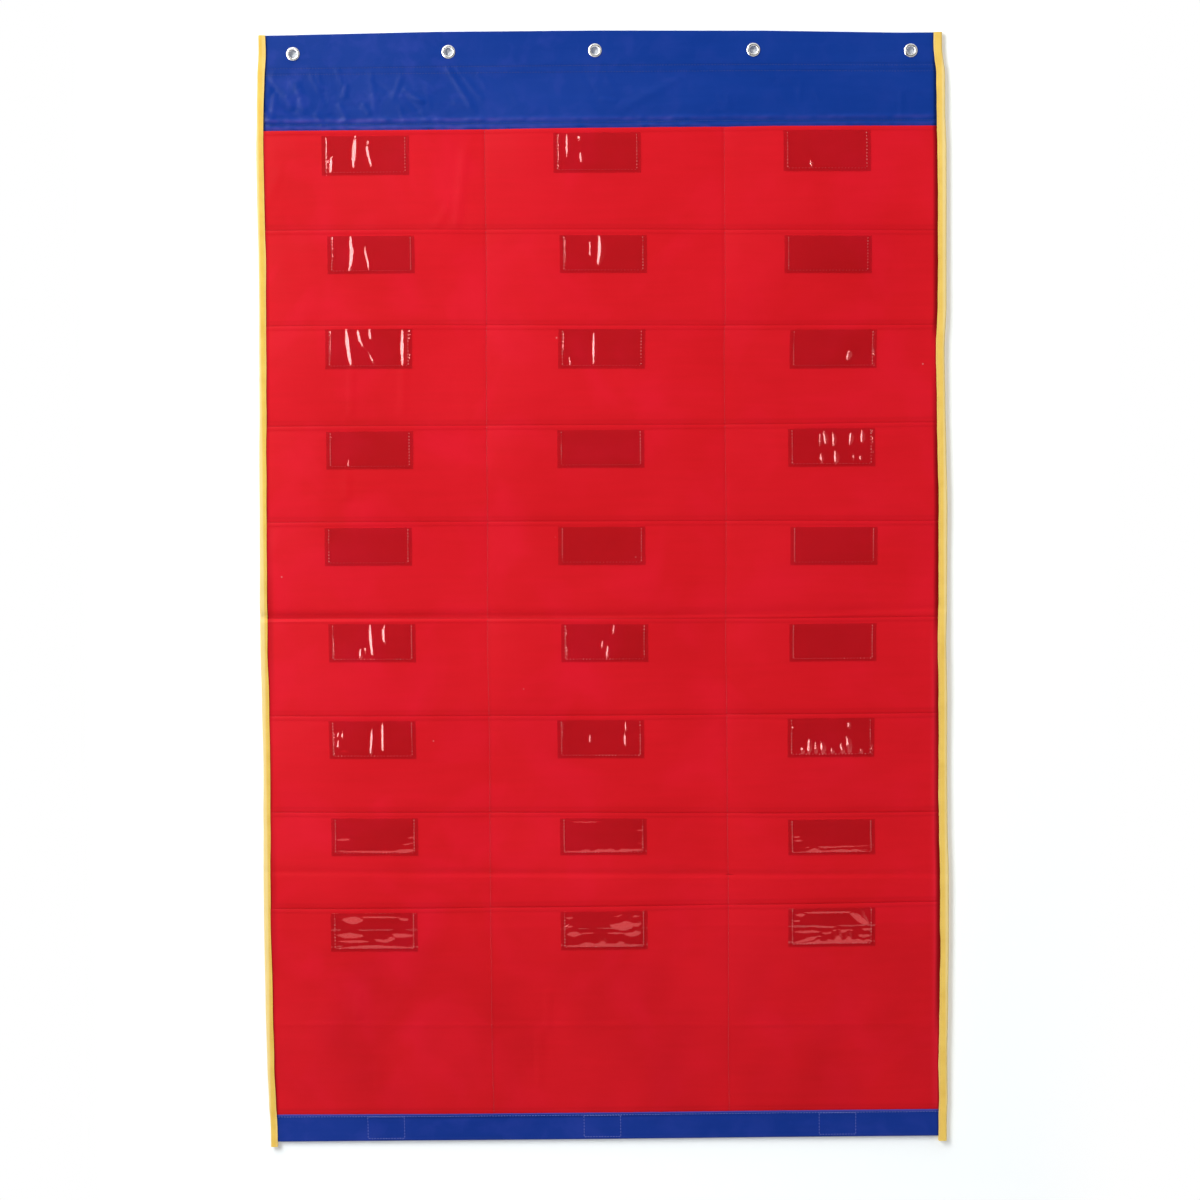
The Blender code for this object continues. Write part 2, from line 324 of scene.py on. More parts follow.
soft_box("key_lamp", -32, 25, 3.8, (1.4, 2.4), 117)
STRIP_AZIMUTH, STRIP_ELEVATION, STRIP_DISTANCE = -50, -1, 2.4
strip_lamp = soft_box("strip_lamp", STRIP_AZIMUTH, STRIP_ELEVATION, STRIP_DISTANCE, (0.50, 1.9), 36)
strip_lamp.visible_diffuse = False

# %% Wall and floor
WALL_MARGIN, WALL_BELOW, WALL_Y = 0.45, 0.4, 0.002
FLOOR_Z, FLOOR_FRONT, FLOOR_REACH = -1.62, -1.7, 5
COVERED_HALF_WIDTH, COVERED_BELOW_TOP = 0.336, 0.010


def glow(tree, strength):
    """A white emission."""
    return add_node(tree, "ShaderNodeEmission", sockets={"Color": WHITE, "Strength": strength}).outputs[0]


def backdrop_finish(name, lift, albedo, centre, fade_start, fade_end, one_sided, covered=None):
    """A pale matt surface that the camera sees as white and that keeps shadows near its centre. It fades to
    plain white from fade_start to fade_end. Within covered (half its width and height) the chart hides it
    and it isn't lifted, so the grommets look onto a grey wall."""
    made, tree, place = new_material(name)
    rays = add_node(tree, "ShaderNodeLightPath").outputs
    seen = highest(tree, rays["Is Camera Ray"], rays["Is Transmission Ray"], rays["Is Glossy Ray"])
    tint = (albedo, albedo * 1.05, albedo * 1.06, 1.0)
    matt = add_node(tree, "ShaderNodeBsdfDiffuse", sockets={"Color": tint}).outputs[0]
    off = add_node(tree, "ShaderNodeVectorMath", {"operation": "SUBTRACT"}, {0: place, 1: centre}).outputs[0]
    off = add_node(tree, "ShaderNodeVectorMath", {"operation": "ABSOLUTE"}, {0: off}).outputs[0]
    parts = separate(tree, off)
    if covered:
        beside = remap(tree, parts[0], covered[0], covered[0] + 0.008)
        above = remap(tree, parts[2], covered[1], covered[1] + 0.005)
        lift = math_node(tree, "MULTIPLY", highest(tree, beside, above), lift)
    lifted = glow(tree, math_node(tree, "MULTIPLY", seen, lift))
    near = add_node(tree, "ShaderNodeAddShader", sockets={0: matt, 1: lifted}).outputs[0]
    across = remap(tree, parts[0], fade_start[0], fade_end[0], soft=True)
    along = remap(tree, parts[2 if one_sided else 1], fade_start[1], fade_end[1], soft=True)
    far = math_node(tree, "MULTIPLY", highest(tree, across, along), seen)
    surface = mix_shaders(tree, far, near, glow(tree, seen))
    if one_sided:
        behind = add_node(tree, "ShaderNodeNewGeometry").outputs["Backfacing"]
        surface = mix_shaders(tree, behind, surface, add_node(tree, "ShaderNodeBsdfTransparent").outputs[0])
    return with_surface(made, surface)


def stage_sheet(name, corners, finish):
    """A flat stage piece from its four corners."""
    mesh = bpy.data.meshes.new(name)
    mesh.from_pydata(corners, [], [(0, 1, 2, 3)])
    mesh.materials.append(finish)
    thing = bpy.data.objects.new(name, mesh)
    bpy.context.scene.collection.objects.link(thing)
    return thing


half_w, low, high = CHART_WIDTH / 2 + WALL_MARGIN, BAND_BOTTOM - WALL_BELOW, TOP_Z + WALL_MARGIN
middle_z = (low + high) / 2
covered = (COVERED_HALF_WIDTH, TOP_Z - COVERED_BELOW_TOP - middle_z)
wall = stage_sheet(
    "wall",
    [(x, WALL_Y, z) for x, z in ((-half_w, low), (half_w, low), (half_w, high), (-half_w, high))],
    backdrop_finish(
        "white_wall", 0.225, 0.905, (0, 0, middle_z), (0.39, 0.62), (0.55, 0.75), True, covered
    ),
)
wall.visible_shadow = False
wall.visible_diffuse = False
left, right, front, rear = -FLOOR_REACH, FLOOR_REACH, FLOOR_FRONT, FLOOR_REACH
floor = stage_sheet(
    "floor",
    [(x, y, FLOOR_Z) for x, y in ((left, front), (right, front), (right, rear), (left, rear))],
    backdrop_finish("pale_floor", 0.72, 0.26, (0, 0, FLOOR_Z), (1.2, 1.2), (2.5, 2.5), False),
)
print("wall", wall.dimensions[:], "floor", floor.dimensions[:])

# %% [markdown]
# ## How the cloth lies
#
# Coated nylon that has been folded in a box never hangs quite flat. It has slow waves as long as a hand,
# faint short ones, four level lines where it was folded, and small wrinkles. One function gives that relief
# for any point of the chart, and every layer uses it. So the layers bend together and never run through
# each other.
#
# Slow waves are a sum of sines with random lengths and directions, drawn once from a fixed seed. A crease
# is a smooth ridge along a line between two points, written as one row of a table.


# %% Waves and creases
def wave_set(seed, count, shortest, longest, squash=1.0):
    """Random waves as (x rate, z rate, phase). squash above 1 makes them run more nearly level."""
    rng = np.random.default_rng(seed)
    length = np.exp(rng.uniform(math.log(shortest), math.log(longest), count))
    angle = rng.uniform(0, math.pi, count)
    kx, kz = np.cos(angle) / squash, np.sin(angle)
    size = np.hypot(kx, kz)
    rate = math.tau / length / size
    return kx * rate, kz * rate, rng.uniform(0, math.tau, count)


def waves(x, z, wave):
    """Sum of sin(x rate * x + z rate * z + phase), scaled to about -1 to 1."""
    kx, kz, phase = wave
    total = sum(np.sin(a * x + b * z + c) for a, b, c in zip(kx, kz, phase))
    return total / math.sqrt(len(kx) * 2)


def smooth(value, start, end):
    """0 before start, 1 after end, and 3t^2 - 2t^3 between them."""
    t = np.clip((value - start) / (end - start), 0, 1)
    return t * t * (3 - 2 * t)


def bell(value, centre, spread):
    """exp(-(distance from the centre / spread)^2)."""
    return np.exp(-(((value - centre) / spread) ** 2))


def crease(x, z, line, height, spread, taper=0.1):
    """A ridge of the given height along line (x0, z0, x1, z1): a bell across it, which fades out over the
    given share of its length at each end."""
    x0, z0, x1, z1 = line
    length = math.hypot(x1 - x0, z1 - z0)
    ux, uz = (x1 - x0) / length, (z1 - z0) / length
    along = ((x - x0) * ux + (z - z0) * uz) / length
    off = -(x - x0) * uz + (z - z0) * ux
    ends = smooth(along, -taper, taper) * (1 - smooth(along, 1 - taper, 1 + taper))
    return height * ends * bell(off, 0, spread)


SLOW = wave_set(3, 12, 0.13, 0.42)
SHORT = wave_set(8, 16, 0.022, 0.07)
LEVEL = wave_set(21, 14, 0.006, 0.016, 5.0)

# x0, z0, x1, z1 of each ridge, its height and its spread, all in metres
CREASES = [
    ((-0.350, -1.0152, 0.349, -1.0209), 0.00035, 0.0016),
    ((-0.350, -0.9150, 0.349, -0.9165), 0.00022, 0.0016),
    ((-0.160, -0.015, -0.133, -0.058), 0.0007, 0.0030),
    ((-0.153, -0.052, -0.128, -0.062), 0.0004, 0.0030),
    ((-0.315, -0.029, -0.306, -0.062), 0.0004, 0.0030),
    ((-0.300, -0.022, -0.292, -0.040), 0.0003, 0.0022),
    ((-0.238, -0.020, -0.233, -0.062), 0.0003, 0.0030),
    ((0.080, -0.030, 0.020, -0.062), 0.0004, 0.0050),
    ((-0.140, -0.100, -0.150, -0.180), 0.0006, 0.0040),
    ((-0.158, -0.160, -0.172, -0.180), 0.0004, 0.0040),
    ((-0.260, -0.327, -0.261, -0.376), 0.0005, 0.0030),
    ((-0.206, -0.327, -0.207, -0.376), 0.0005, 0.0030),
    ((-0.265, -0.433, -0.265, -0.464), 0.0004, 0.0028),
    ((-0.258, -0.980, -0.259, -1.010), 0.0005, 0.0026),
    ((-0.061, -0.979, -0.062, -1.022), 0.0006, 0.0026),
    ((-0.070, -1.022, -0.071, -1.080), 0.0006, 0.0026),
    ((-0.239, -1.055, -0.240, -1.084), 0.0004, 0.0026),
]


def crumples(seed, count, area, lean, lengths, heights, spread):
    """A table of small random creases inside area (x0, z0, x1, z1), leaning by about lean radians, crowded
    towards the left end of the area."""
    rng = np.random.default_rng(seed)
    x = area[0] + (area[2] - area[0]) * rng.uniform(0, 1, count) ** 1.7
    z = rng.uniform(area[1], area[3], count)
    half = rng.uniform(*lengths, count) / 2
    angle = lean + rng.normal(0, 0.5, count)
    height = rng.uniform(*heights, count) * rng.choice([1, 1, -1], count)
    dx, dz = half * np.cos(angle), half * np.sin(angle)
    return [((a - c, b - d, a + c, b + d), h, spread) for a, b, c, d, h in zip(x, z, dx, dz, height)]


CREASES += crumples(5, 34, (-0.345, -0.070, 0.34, -0.022), -1.1, (0.010, 0.034), (0.00012, 0.00042), 0.0024)
CREASES += crumples(6, 16, (-0.345, -0.072, -0.19, -0.030), -1.0, (0.010, 0.026), (0.0002, 0.0005), 0.0026)
CREASES += crumples(7, 36, (-0.340, -1.08, 0.34, -0.11), -1.5, (0.014, 0.050), (0.00008, 0.00022), 0.0040)


# height of the line at the left edge, divider, divider and right edge, with its depth there, in metres
FOLDS = [
    ((-0.5890, -0.5880, -0.5850, -0.5816), (0.0017, 0.0011, 0.0007, 0.0006), 0.0089),
    ((-0.8560, -0.8585, -0.8615, -0.8640), (0.0005, 0.0009, 0.0009, 0.0004), 0.0070),
]


def old_fold(x, z, heights, depths, reach):
    """A fold line right across the chart: the cloth turns down for the given reach above the line, sinking
    by 1 - cos, and comes back up below it in half of that."""
    at = (-0.355, -0.13, 0.13, 0.355)
    over = (z - np.interp(x, at, heights)) / reach
    turned = np.clip(np.where(over > 0, over, 2 * over), -1, 1)
    return -np.interp(x, at, depths) * (0.5 + 0.5 * np.cos(turned * math.pi))


def relief(x, z):
    """How far the cloth stands forward of its flat place: slow waves, short waves, creases and fold lines.
    It is held to nothing at the grommets and at the foot band, where the pieces are stiff."""
    x, z = np.broadcast_arrays(x, z)
    held = (1 - smooth(z, -0.060, -0.012)) * smooth(z, BAND_TOP - 0.002, BAND_TOP + 0.05)
    slow = 0.0012 * (1 + 0.8 * waves(x, z, SLOW))
    short = 0.00011 * waves(x, z, SHORT)
    level = 0.00005 * waves(x, z, LEVEL) * smooth(-z, 0.5, 0.7) * smooth(x, -0.2, 0.25)
    folds = sum(crease(x, z, *row) for row in CREASES) + sum(old_fold(x, z, *row) for row in FOLDS)
    return held * (slow + short + level) + folds * (1 - smooth(z, -0.02, -0.006))


probe_x, probe_z = np.meshgrid(np.linspace(-0.35, 0.35, 141), np.linspace(-1.1, 0, 221))
probe = 1000 * relief(probe_x, probe_z)
print(len(CREASES), "creases; relief from", probe.min().round(2), "to", probe.max().round(2), "mm")

# %% [markdown]
# ## Hand-sewn drift
#
# No two rows of a sewn chart are exactly alike. In the photograph the rows wander by a few millimetres,
# mostly where the cloth hangs slack, and the side edges weave in and out. A small shift in x and z,
# measured at a few heights and columns and joined between them, gives the chart that hand-made look. It
# changes the chart's size by a few millimetres at most.

# %% Drift
DRIFT_AT_X = [-0.336, -0.171, -0.004, 0.173, 0.314]
DRIFT_AT_Z = [
    -1.136, -1.1095, -0.8945, -0.7929, -0.6913, -0.5897, -0.4881,
    -0.3865, -0.2849, -0.1833, -0.0817, 0.0, 0.0183,
]
# how far each place is raised, in millimetres: one row for each height above, from left to right
DRIFT_Z = np.array([
    (-0.1, -0.1, -0.1, 0.4, 0.5),
    (2.3, 1.5, 1.6, 2.2, 2.4),
    (4.4, 3.8, 4.4, 5.1, 6.4),
    (4.0, 2.6, 1.2, -1.0, -1.0),
    (3.0, 2.0, 1.2, 1.0, 1.0),
    (3.2, 2.1, 0.6, -0.6, -0.2),
    (1.8, 1.3, 0.4, -0.5, -1.9),
    (-0.1, -0.6, -1.3, -1.9, -1.2),
    (2.2, 2.0, 0.3, -1.2, -1.8),
    (-0.5, -0.9, -2.1, -4.1, -5.8),
    (0.6, 0.2, 0.7, 1.2, 0.6),
    (-1.7, -0.8, -0.5, -1.3, -3.3),
    (-0.7, 1.7, 1.7, 0.1, -3.1),
])
DRIFT_HEIGHTS = [
    -1.123, -1.097, -1.055, -0.992, -0.93, -0.867, -0.805, -0.742, -0.679, -0.617, -0.575, -0.523,
    -0.471, -0.418, -0.366, -0.314, -0.262, -0.21, -0.147, -0.105, -0.064, -0.027, 0.004,
]
DRIFT_LEFT = [
    1.1, -0.4, -1.6, -2.6, -3.1, -3.1, -2.4, -1.6, -2.4, -3.2, -3.3, -2.6,
    -2.1, -1.9, -1.0, -0.5, 0.1, 0.0, -0.8, -1.0, 0.0, 0.9, 2.5,
]
DRIFT_RIGHT = [
    -0.4, 0.5, 0.2, 1.5, 2.4, 2.6, 1.4, 1.3, 1.6, 0.8, 1.8, 2.3,
    2.6, 1.8, 0.9, 0.2, 2.4, 2.6, 3.0, 3.1, 1.9, 2.1, -1.0,
]


def eased(value, at, what):
    """Values given at some places, joined by smooth steps so that there is no corner between them."""
    value = np.asarray(value, float)
    at, what = np.array(at), np.array(what)
    i = np.clip(np.searchsorted(at, value) - 1, 0, len(at) - 2)
    t = np.clip((value - at[i]) / (at[i + 1] - at[i]), 0, 1)
    return what[i] + (what[i + 1] - what[i]) * t * t * (3 - 2 * t)


def drift(x, z):
    """The shift (dx, dz) in metres. dx runs evenly from its left value to its right one. dz is read from the
    table along each column, and then mixed between the two nearest columns."""
    side = (x + CHART_WIDTH / 2) / CHART_WIDTH
    dx = (1 - side) * eased(z, DRIFT_HEIGHTS, DRIFT_LEFT) + side * eased(z, DRIFT_HEIGHTS, DRIFT_RIGHT)
    columns = range(len(DRIFT_AT_X))
    across = np.interp(x, DRIFT_AT_X, columns)
    shares = [np.maximum(0, 1 - np.abs(across - column)) for column in columns]
    dz = sum(share * np.interp(z, DRIFT_AT_Z, heights) for share, heights in zip(shares, DRIFT_Z.T))
    return 0.001 * dx, 0.001 * dz


def place(x, z, depth):
    """The point of the finished chart for a point of the flat layout: x and z get their drift, and the depth
    its relief."""
    x, z, depth = np.broadcast_arrays(np.asarray(x, float), np.asarray(z, float), np.asarray(depth, float))
    dx, dz = drift(x, z)
    return np.stack([x + dx, -(depth + relief(x, z)), z + dz], axis=-1)


for name, shift in zip("xz", drift(probe_x, probe_z)):
    print("drift in", name, "from", (1000 * shift.min()).round(1), "to", (1000 * shift.max()).round(1), "mm")


# %% [markdown]
# ## From a grid of points to a thin shell
#
# A piece of cloth is two grids of points, its front and its back, joined round the rim into one closed
# skin. Cells can be left out for a hole. The rim is found by a simple rule: an edge that only one cell
# uses lies on a border, so it gets a narrow face between the two grids. That closes the outside and every
# hole in one go.


# %% Shell helper
def new_piece(name, points, faces, finish, slot, smooth_below=40.0):
    """A mesh object from an array of points and arrays of faces (all with the same number of corners
    each)."""
    mesh = bpy.data.meshes.new(name)
    groups = [np.asarray(f) for f in (faces if isinstance(faces, list) else [faces])]
    corners = np.concatenate([g.ravel() for g in groups])
    sizes = np.concatenate([np.full(len(g), g.shape[1]) for g in groups])
    mesh.vertices.add(len(points))
    mesh.vertices.foreach_set("co", np.asarray(points, np.float32).ravel())
    mesh.loops.add(len(corners))
    mesh.loops.foreach_set("vertex_index", corners.astype(np.int32))
    mesh.polygons.add(len(sizes))
    starts = np.concatenate([[0], np.cumsum(sizes)[:-1]])
    mesh.polygons.foreach_set("loop_start", starts.astype(np.int32))
    mesh.update(calc_edges=True)
    mesh.validate()
    mesh.shade_smooth()
    mesh.set_sharp_from_angle(angle=math.radians(smooth_below))
    mesh.materials.append(finish)
    made = bpy.data.objects.new(name, mesh)
    bpy.context.scene.collection.objects.link(made)
    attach(made, "root")
    return made


def grid_faces(rows, columns, keep=None):
    """Corner numbers of the cells of a grid, row by row, anticlockwise when seen with x to the right and
    rows going up."""
    index = np.arange(rows * columns).reshape(rows, columns)
    quads = np.stack([index[:-1, :-1], index[:-1, 1:], index[1:, 1:], index[1:, :-1]], -1).reshape(-1, 4)
    return quads if keep is None else quads[np.asarray(keep).ravel()]


def shell(name, front, rear, finish, slot, keep=None, smooth_below=40.0):
    """A closed thin piece between two grids of points, each (rows, columns, 3), with a rim where cells
    end."""
    rows, columns = front.shape[:2]
    count = rows * columns
    quads = grid_faces(rows, columns, keep)
    edges = np.concatenate([quads[:, [i, (i + 1) % 4]] for i in range(4)])
    key, reverse = edges[:, 0] * count + edges[:, 1], edges[:, 1] * count + edges[:, 0]
    a, b = edges[~np.isin(key, reverse)].T
    rim = np.stack([b, a, a + count, b + count], axis=1)
    faces = np.concatenate([quads, quads[:, ::-1] + count, rim])
    points = np.concatenate([front.reshape(-1, 3), rear.reshape(-1, 3)])
    used, faces = np.unique(faces, return_inverse=True)
    return new_piece(name, points[used], faces.reshape(-1, 4), finish, slot, smooth_below)


def store(piece, name, value):
    """Store a number from 0 to 1 at each point, which the finish reads by its name. value is a function of
    the points' x, y and z."""
    mesh = piece.data
    points = np.empty(len(mesh.vertices) * 3, np.float32)
    mesh.vertices.foreach_get("co", points)
    attribute = mesh.attributes.new(name, "FLOAT", "POINT")
    numbers = np.clip(value(*points.reshape(-1, 3).T), 0, 1)
    attribute.data.foreach_set("value", numbers.astype(np.float32))


def lines(start, end, step, extra=()):
    """Evenly spaced places from start to end, with extra ones added, none closer than a tenth of a
    millimetre."""
    count = max(int(round((end - start) / step)), 1)
    extra = [place for place in extra if start < place < end]
    every = np.unique(np.round(np.concatenate([np.linspace(start, end, count + 1), extra]), 6))
    kept = [every[0]]
    for value in every[1:]:
        if value - kept[-1] > 0.0001:
            kept.append(value)
    return np.array(kept)


def around(centres, offsets):
    """The places at the given offsets from each centre."""
    return [centre + offset for centre in centres for offset in offsets]


# %% [markdown]
# ## Finish of the coated cloth
#
# The cloth is a plain-weave nylon with a thin plastic coat on the back. Close up it is a grid of threads
# half a millimetre apart. From further off there is a soft sheen, very slight changes of tone, and a fine
# crinkle. The weave is two crossed sine waves, which costs almost nothing, and the crinkle is a noise that
# only tips the surface. Paler patches of painted sheen lie over it, stronger on the left. Painted shade
# darkens seams, grooves and the cloth where another piece shades it, and painted highlights lighten lips,
# folded edges and the strips' lifted ends. Both come from two numbers stored at each point of the mesh.


# %% Cloth finish
WEAVE_PITCH = 0.0005
PAINTED_SHADE_DARKNESS = 0.36


def cloth_finish(name, bright, deep, roughness, shine, highlight_colour, sheen_patches, crinkle):
    """Coated plain-weave cloth between two tones. Next comes the colour of its painted highlights, on lips,
    folded edges and lifted ends, then its painted sheen: a paler third tone in patches, with its scale and
    its strengths at the left and right of the chart. crinkle is the depth of its bumps."""
    made, tree, place = new_material(name)
    x, _, z = separate(tree, place)
    crossed = math_node(tree, "MULTIPLY", ripple(tree, x, WEAVE_PITCH), ripple(tree, z, WEAVE_PITCH))
    weave = to_share(tree, crossed)
    broad = noise(tree, place, 5.0, 4.0, Roughness=0.55)
    fine = noise(tree, place, 900.0, 1.0)
    crumple = noise(tree, place, 46.0, 5.0, Roughness=0.5, Distortion=0.4)
    level = add_node(tree, "ShaderNodeMapping", sockets={"Vector": place, "Scale": (7.0, 1.0, 85.0)})
    streaks = noise(tree, level.outputs[0], 2.0, 3.0)

    tone = weighted_sum(tree, (broad, 0.62), (streaks, 0.22), (fine, 0.1), (weave, 0.1))
    colour = blend(tree, remap(tree, tone, 0.34, 0.70), deep, bright)
    # painted sheen: patches of a paler third tone, stronger on the left where the key lamp stands
    sheen_colour, sheen_scale, sheen_left, sheen_right = sheen_patches
    patchy = remap(tree, noise(tree, place, sheen_scale, 3.0, Distortion=0.6), 0.47, 0.72)
    reach = remap(tree, x, -0.30, 0.15, sheen_left, sheen_right)
    colour = blend(tree, math_node(tree, "MULTIPLY", patchy, reach), colour, sheen_colour)
    # painted highlights from the stored number, on lips, folded edges and lifted ends
    colour = blend(tree, stored(tree, "painted_highlight"), colour, highlight_colour)
    # painted shade from the stored number: contact shadows, shade in seams and grooves, shadow by the tapes
    colour = blend(tree, stored(tree, "painted_shade"), colour, tuple(PAINTED_SHADE_DARKNESS * part for part in deep))

    lint = add_node(tree, "ShaderNodeTexVoronoi", sockets={"Vector": place, "Scale": 24.0}).outputs
    close = remap(tree, lint["Distance"], 0.012, 0.026, 0.55, 0.0)
    chance = add_node(tree, "ShaderNodeSeparateColor", sockets={0: lint["Color"]}).outputs[0]
    specks = math_node(tree, "MULTIPLY", close, math_node(tree, "GREATER_THAN", chance, 0.55))
    colour = blend(tree, specks, colour, tuple(min(1.0, 0.6 * part + 0.28) for part in bright))

    dull = remap(tree, broad, 0.3, 0.7, roughness - 0.05, roughness + 0.07)
    bumped = bump(tree, crumple, crinkle)
    bumped = bump(tree, streaks, 0.00012, normal=bumped)
    bumped = bump(tree, weave, 0.00002, 0.6, bumped)
    sheen = {"Sheen Weight": 0.01, "Sheen Roughness": 0.4, "Sheen Tint": (*bright, 1)}
    shader = principled(tree, colour, dull, bumped, {"Specular IOR Level": shine, **sheen})
    return with_surface(made, shader)


# each cloth: bright and deep tones, roughness, shine, painted highlight colour, painted sheen (colour,
# scale, left and right strength), crinkle
RED = cloth_finish(
    "red_coated_nylon", (0.765, 0.0102, 0.0214), (0.65, 0.0092, 0.0138), 0.39, 0.06,
    (0.86, 0.022, 0.050), ((0.80, 0.0108, 0.031), 13.0, 0.7, 0.4), 0.0002,
)
BLUE = cloth_finish(
    "blue_coated_nylon", (0.0065, 0.044, 0.310), (0.0025, 0.034, 0.258), 0.34, 0.11,
    (0.085, 0.066, 0.390), ((0.020, 0.050, 0.338), 48.0, 0.8, 0.2), 0.0003,
)
NAVY = cloth_finish(
    "foot_band_nylon", (0.0070, 0.036, 0.290), (0.0035, 0.029, 0.235), 0.36, 0.14,
    (0.070, 0.070, 0.400), ((0.020, 0.045, 0.330), 34.0, 0.6, 0.4), 0.0002,
)
print("cloth finishes:", RED.name, BLUE.name, NAVY.name)

# %% [markdown]
# ## Pocket strips
#
# Each strip is one piece of cloth as wide as the chart. Its bottom edge is sewn down, its ends are caught
# in the tape, and two vertical seams divide it into three pockets. The strips overlap like shingles, each
# one lower and further forward than the last.
#
# In the middle of a pocket the cloth stands a few millimetres off. Towards a seam it comes down, by a
# power of the distance from the middle, and towards the next pocket's mouth it lies flat again. At the
# mouth the edge is turned over into a narrow hem, which shows as two fine lines, deepened with painted
# shade.

# %% Layers and gape
GAPE = 0.0042
HEM = 0.0042
rng = np.random.default_rng(11)
GAPE_SHARE = 1 + 0.22 * rng.uniform(-1, 1, (ROWS, 3))


def layer_rise(up):
    """Offset of a strip from the backing where it lies flat, growing by a cloth and a gap for each row."""
    return GAP + (CLOTH + GAP) * up / ROW_PITCH


def bay_bulge(x, shares=(1, 1, 1)):
    """1 - |a|^2.6 across each pocket, where a runs from -1 at one seam to 1 at the next, and 0 elsewhere."""
    x = np.asarray(x, float)
    total = np.zeros_like(x)
    for left, right, share in zip(BAY_EDGES[:-1], BAY_EDGES[1:], shares):
        across = np.clip(np.abs((2 * x - left - right) / (right - left)), 0, 1)
        total = total + share * (1 - across**2.6)
    return total


def strip_rear(row, x, up):
    """Depth of a strip's back face: flat where the next one covers it, then rising evenly to its mouth."""
    above = np.clip((up - HIDDEN) / ROW_PITCH, 0, 1)
    rise = (np.sqrt(above**2 + 0.01) - 0.1) / (math.sqrt(1.01) - 0.1)
    return BACKING_FRONT + layer_rise(up) + GAPE * bay_bulge(x, GAPE_SHARE[row]) * rise


def divider_pull(x):
    """The thread draws the cloth in along a divider: a groove, 1 at its bottom."""
    return sum(bell(x, at, 0.0016) for at in DIVIDERS)


def strip_front(row, x, up):
    """Depth of a strip's front face, with the small step where the hem is folded behind it."""
    folded = smooth(up, STRIP_LENGTH - HEM - 0.0010, STRIP_LENGTH - HEM + 0.0014)
    return strip_rear(row, x, up) + CLOTH + 0.00022 * folded


def strip_columns():
    """The x lines of a strip: even, with more of them next to the dividers and at the ends."""
    offsets = (-0.0042, -0.0026, -0.0015, -0.0007, 0, 0.0007, 0.0015, 0.0026, 0.0042)
    return lines(-CLOTH_HALF, CLOTH_HALF, 0.0035, around(DIVIDERS, offsets))


def strip_heights(covered):
    """Heights above the seam: wide apart where the strip is hidden, close where it shows, closest at the
    hem."""
    hidden = lines(0, covered - 0.004, 0.012)
    foot = around([covered], (0, 0.0005, 0.0010, 0.0016, 0.0024, 0.0034))
    shown = lines(covered - 0.002, STRIP_LENGTH - 0.0068, 0.0022, foot)
    below_mouth = np.array([0.0056, 0.0049, 0.0044, 0.0041, 0.0037, 0.003, 0.0018, 0.0008, 0.0003, 0])
    return np.concatenate([hidden, shown, STRIP_LENGTH - below_mouth])


LEFT_TAPE, RIGHT_TAPE = 0.0074, 0.0092
# strength of the painted shadow beside each tape's inner edge
LEFT_TAPE_SHADE, RIGHT_TAPE_SHADE = 0.32, 0.95
# waves for the painted shade on the lowest part of the chart
LOW_SHADE_WAVES = wave_set(61, 14, 0.03, 0.30)


def beside_tape(x):
    """1 under a tape's inner edge, fading to 0 within two millimetres of it."""
    edge = CHART_WIDTH / 2 - np.where(x < 0, LEFT_TAPE, RIGHT_TAPE)
    return smooth(np.abs(x), edge - 0.0022, edge - 0.0002)


def strip_shade(x, z, up, covered):
    """Painted shade on a strip: a shadow just above the piece that covers its foot and beside the tape, a
    little shade at the hem, the mouth's edge and the dividers, and soft darker patches low on the chart
    where the light falls off. up is the height above the strip's seam, and it is covered up to the height
    covered."""
    above = np.maximum(up - covered, 0)
    # painted shade: contact shadows, shade at the foot's roll, hem and mouth, darker patches low down,
    # shadow by the tape
    contact = 0.36 * np.exp(-above / 0.0012) + 0.07 * np.exp(-above / 0.010)
    foot_roll = 0.10 * bell(above, 0.0045, 0.0012)
    hem = 0.06 * bell(up, STRIP_LENGTH - HEM, 0.0008)
    edge = 0.2 * smooth(up, STRIP_LENGTH - 0.0007, STRIP_LENGTH)
    low_shade = np.maximum(0.15 + 0.07 * waves(x, z, LOW_SHADE_WAVES), 0) * smooth(-z, 0.86, 1.00)
    under_tape = np.where(x < 0, LEFT_TAPE_SHADE, RIGHT_TAPE_SHADE) * beside_tape(x)
    return np.maximum(contact + foot_roll + hem + edge + low_shade + 0.09 * divider_pull(x), under_tape)


def painted_end_highlight(x, y, z):
    """A painted highlight on the strips' right ends beside the tape, from the middle of the chart down,
    where the cloth lifts near the binding.
    """
    return 0.55 * smooth(x, 0.338, 0.3445) * (1 - smooth(x, 0.3455, 0.3475)) * smooth(-z, 0.55, 0.66)


# %% Strips
for row in range(ROWS):
    covered = HIDDEN if row + 1 < ROWS else BAND_OVERLAP
    strip_x, up = np.meshgrid(strip_columns(), strip_heights(covered))
    strip_z = SEAMS[row] + up
    round_off = 0.00016 * smooth(up, STRIP_LENGTH - 0.0006, STRIP_LENGTH)
    pull = 0.0001 * divider_pull(strip_x)
    folded = smooth(up, STRIP_LENGTH - HEM - 0.0004, STRIP_LENGTH - HEM + 0.0006)
    folded = 0.0003 * folded * np.clip(bay_bulge(strip_x), 0, 1)
    front = place(strip_x, strip_z, strip_front(row, strip_x, up) - round_off - pull)
    rear = place(strip_x, strip_z, strip_rear(row, strip_x, up) - folded + round_off - pull)
    piece = shell(f"strip_{row + 1}", front, rear, RED, "red_nylon")
    store(piece, "painted_shade", lambda x, y, z: strip_shade(x, z, np.tile(up.ravel(), 2), covered))
    store(piece, "painted_highlight", painted_end_highlight)
    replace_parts(piece, f"pocket_strip_{row + 1}")

# %% [markdown]
# ## Backing panel
#
# Behind the strips hangs one plain panel that carries everything. From the front it never shows, but it is
# the whole back of the chart. It follows the same relief as the strips, so the creases can be seen from
# behind too.

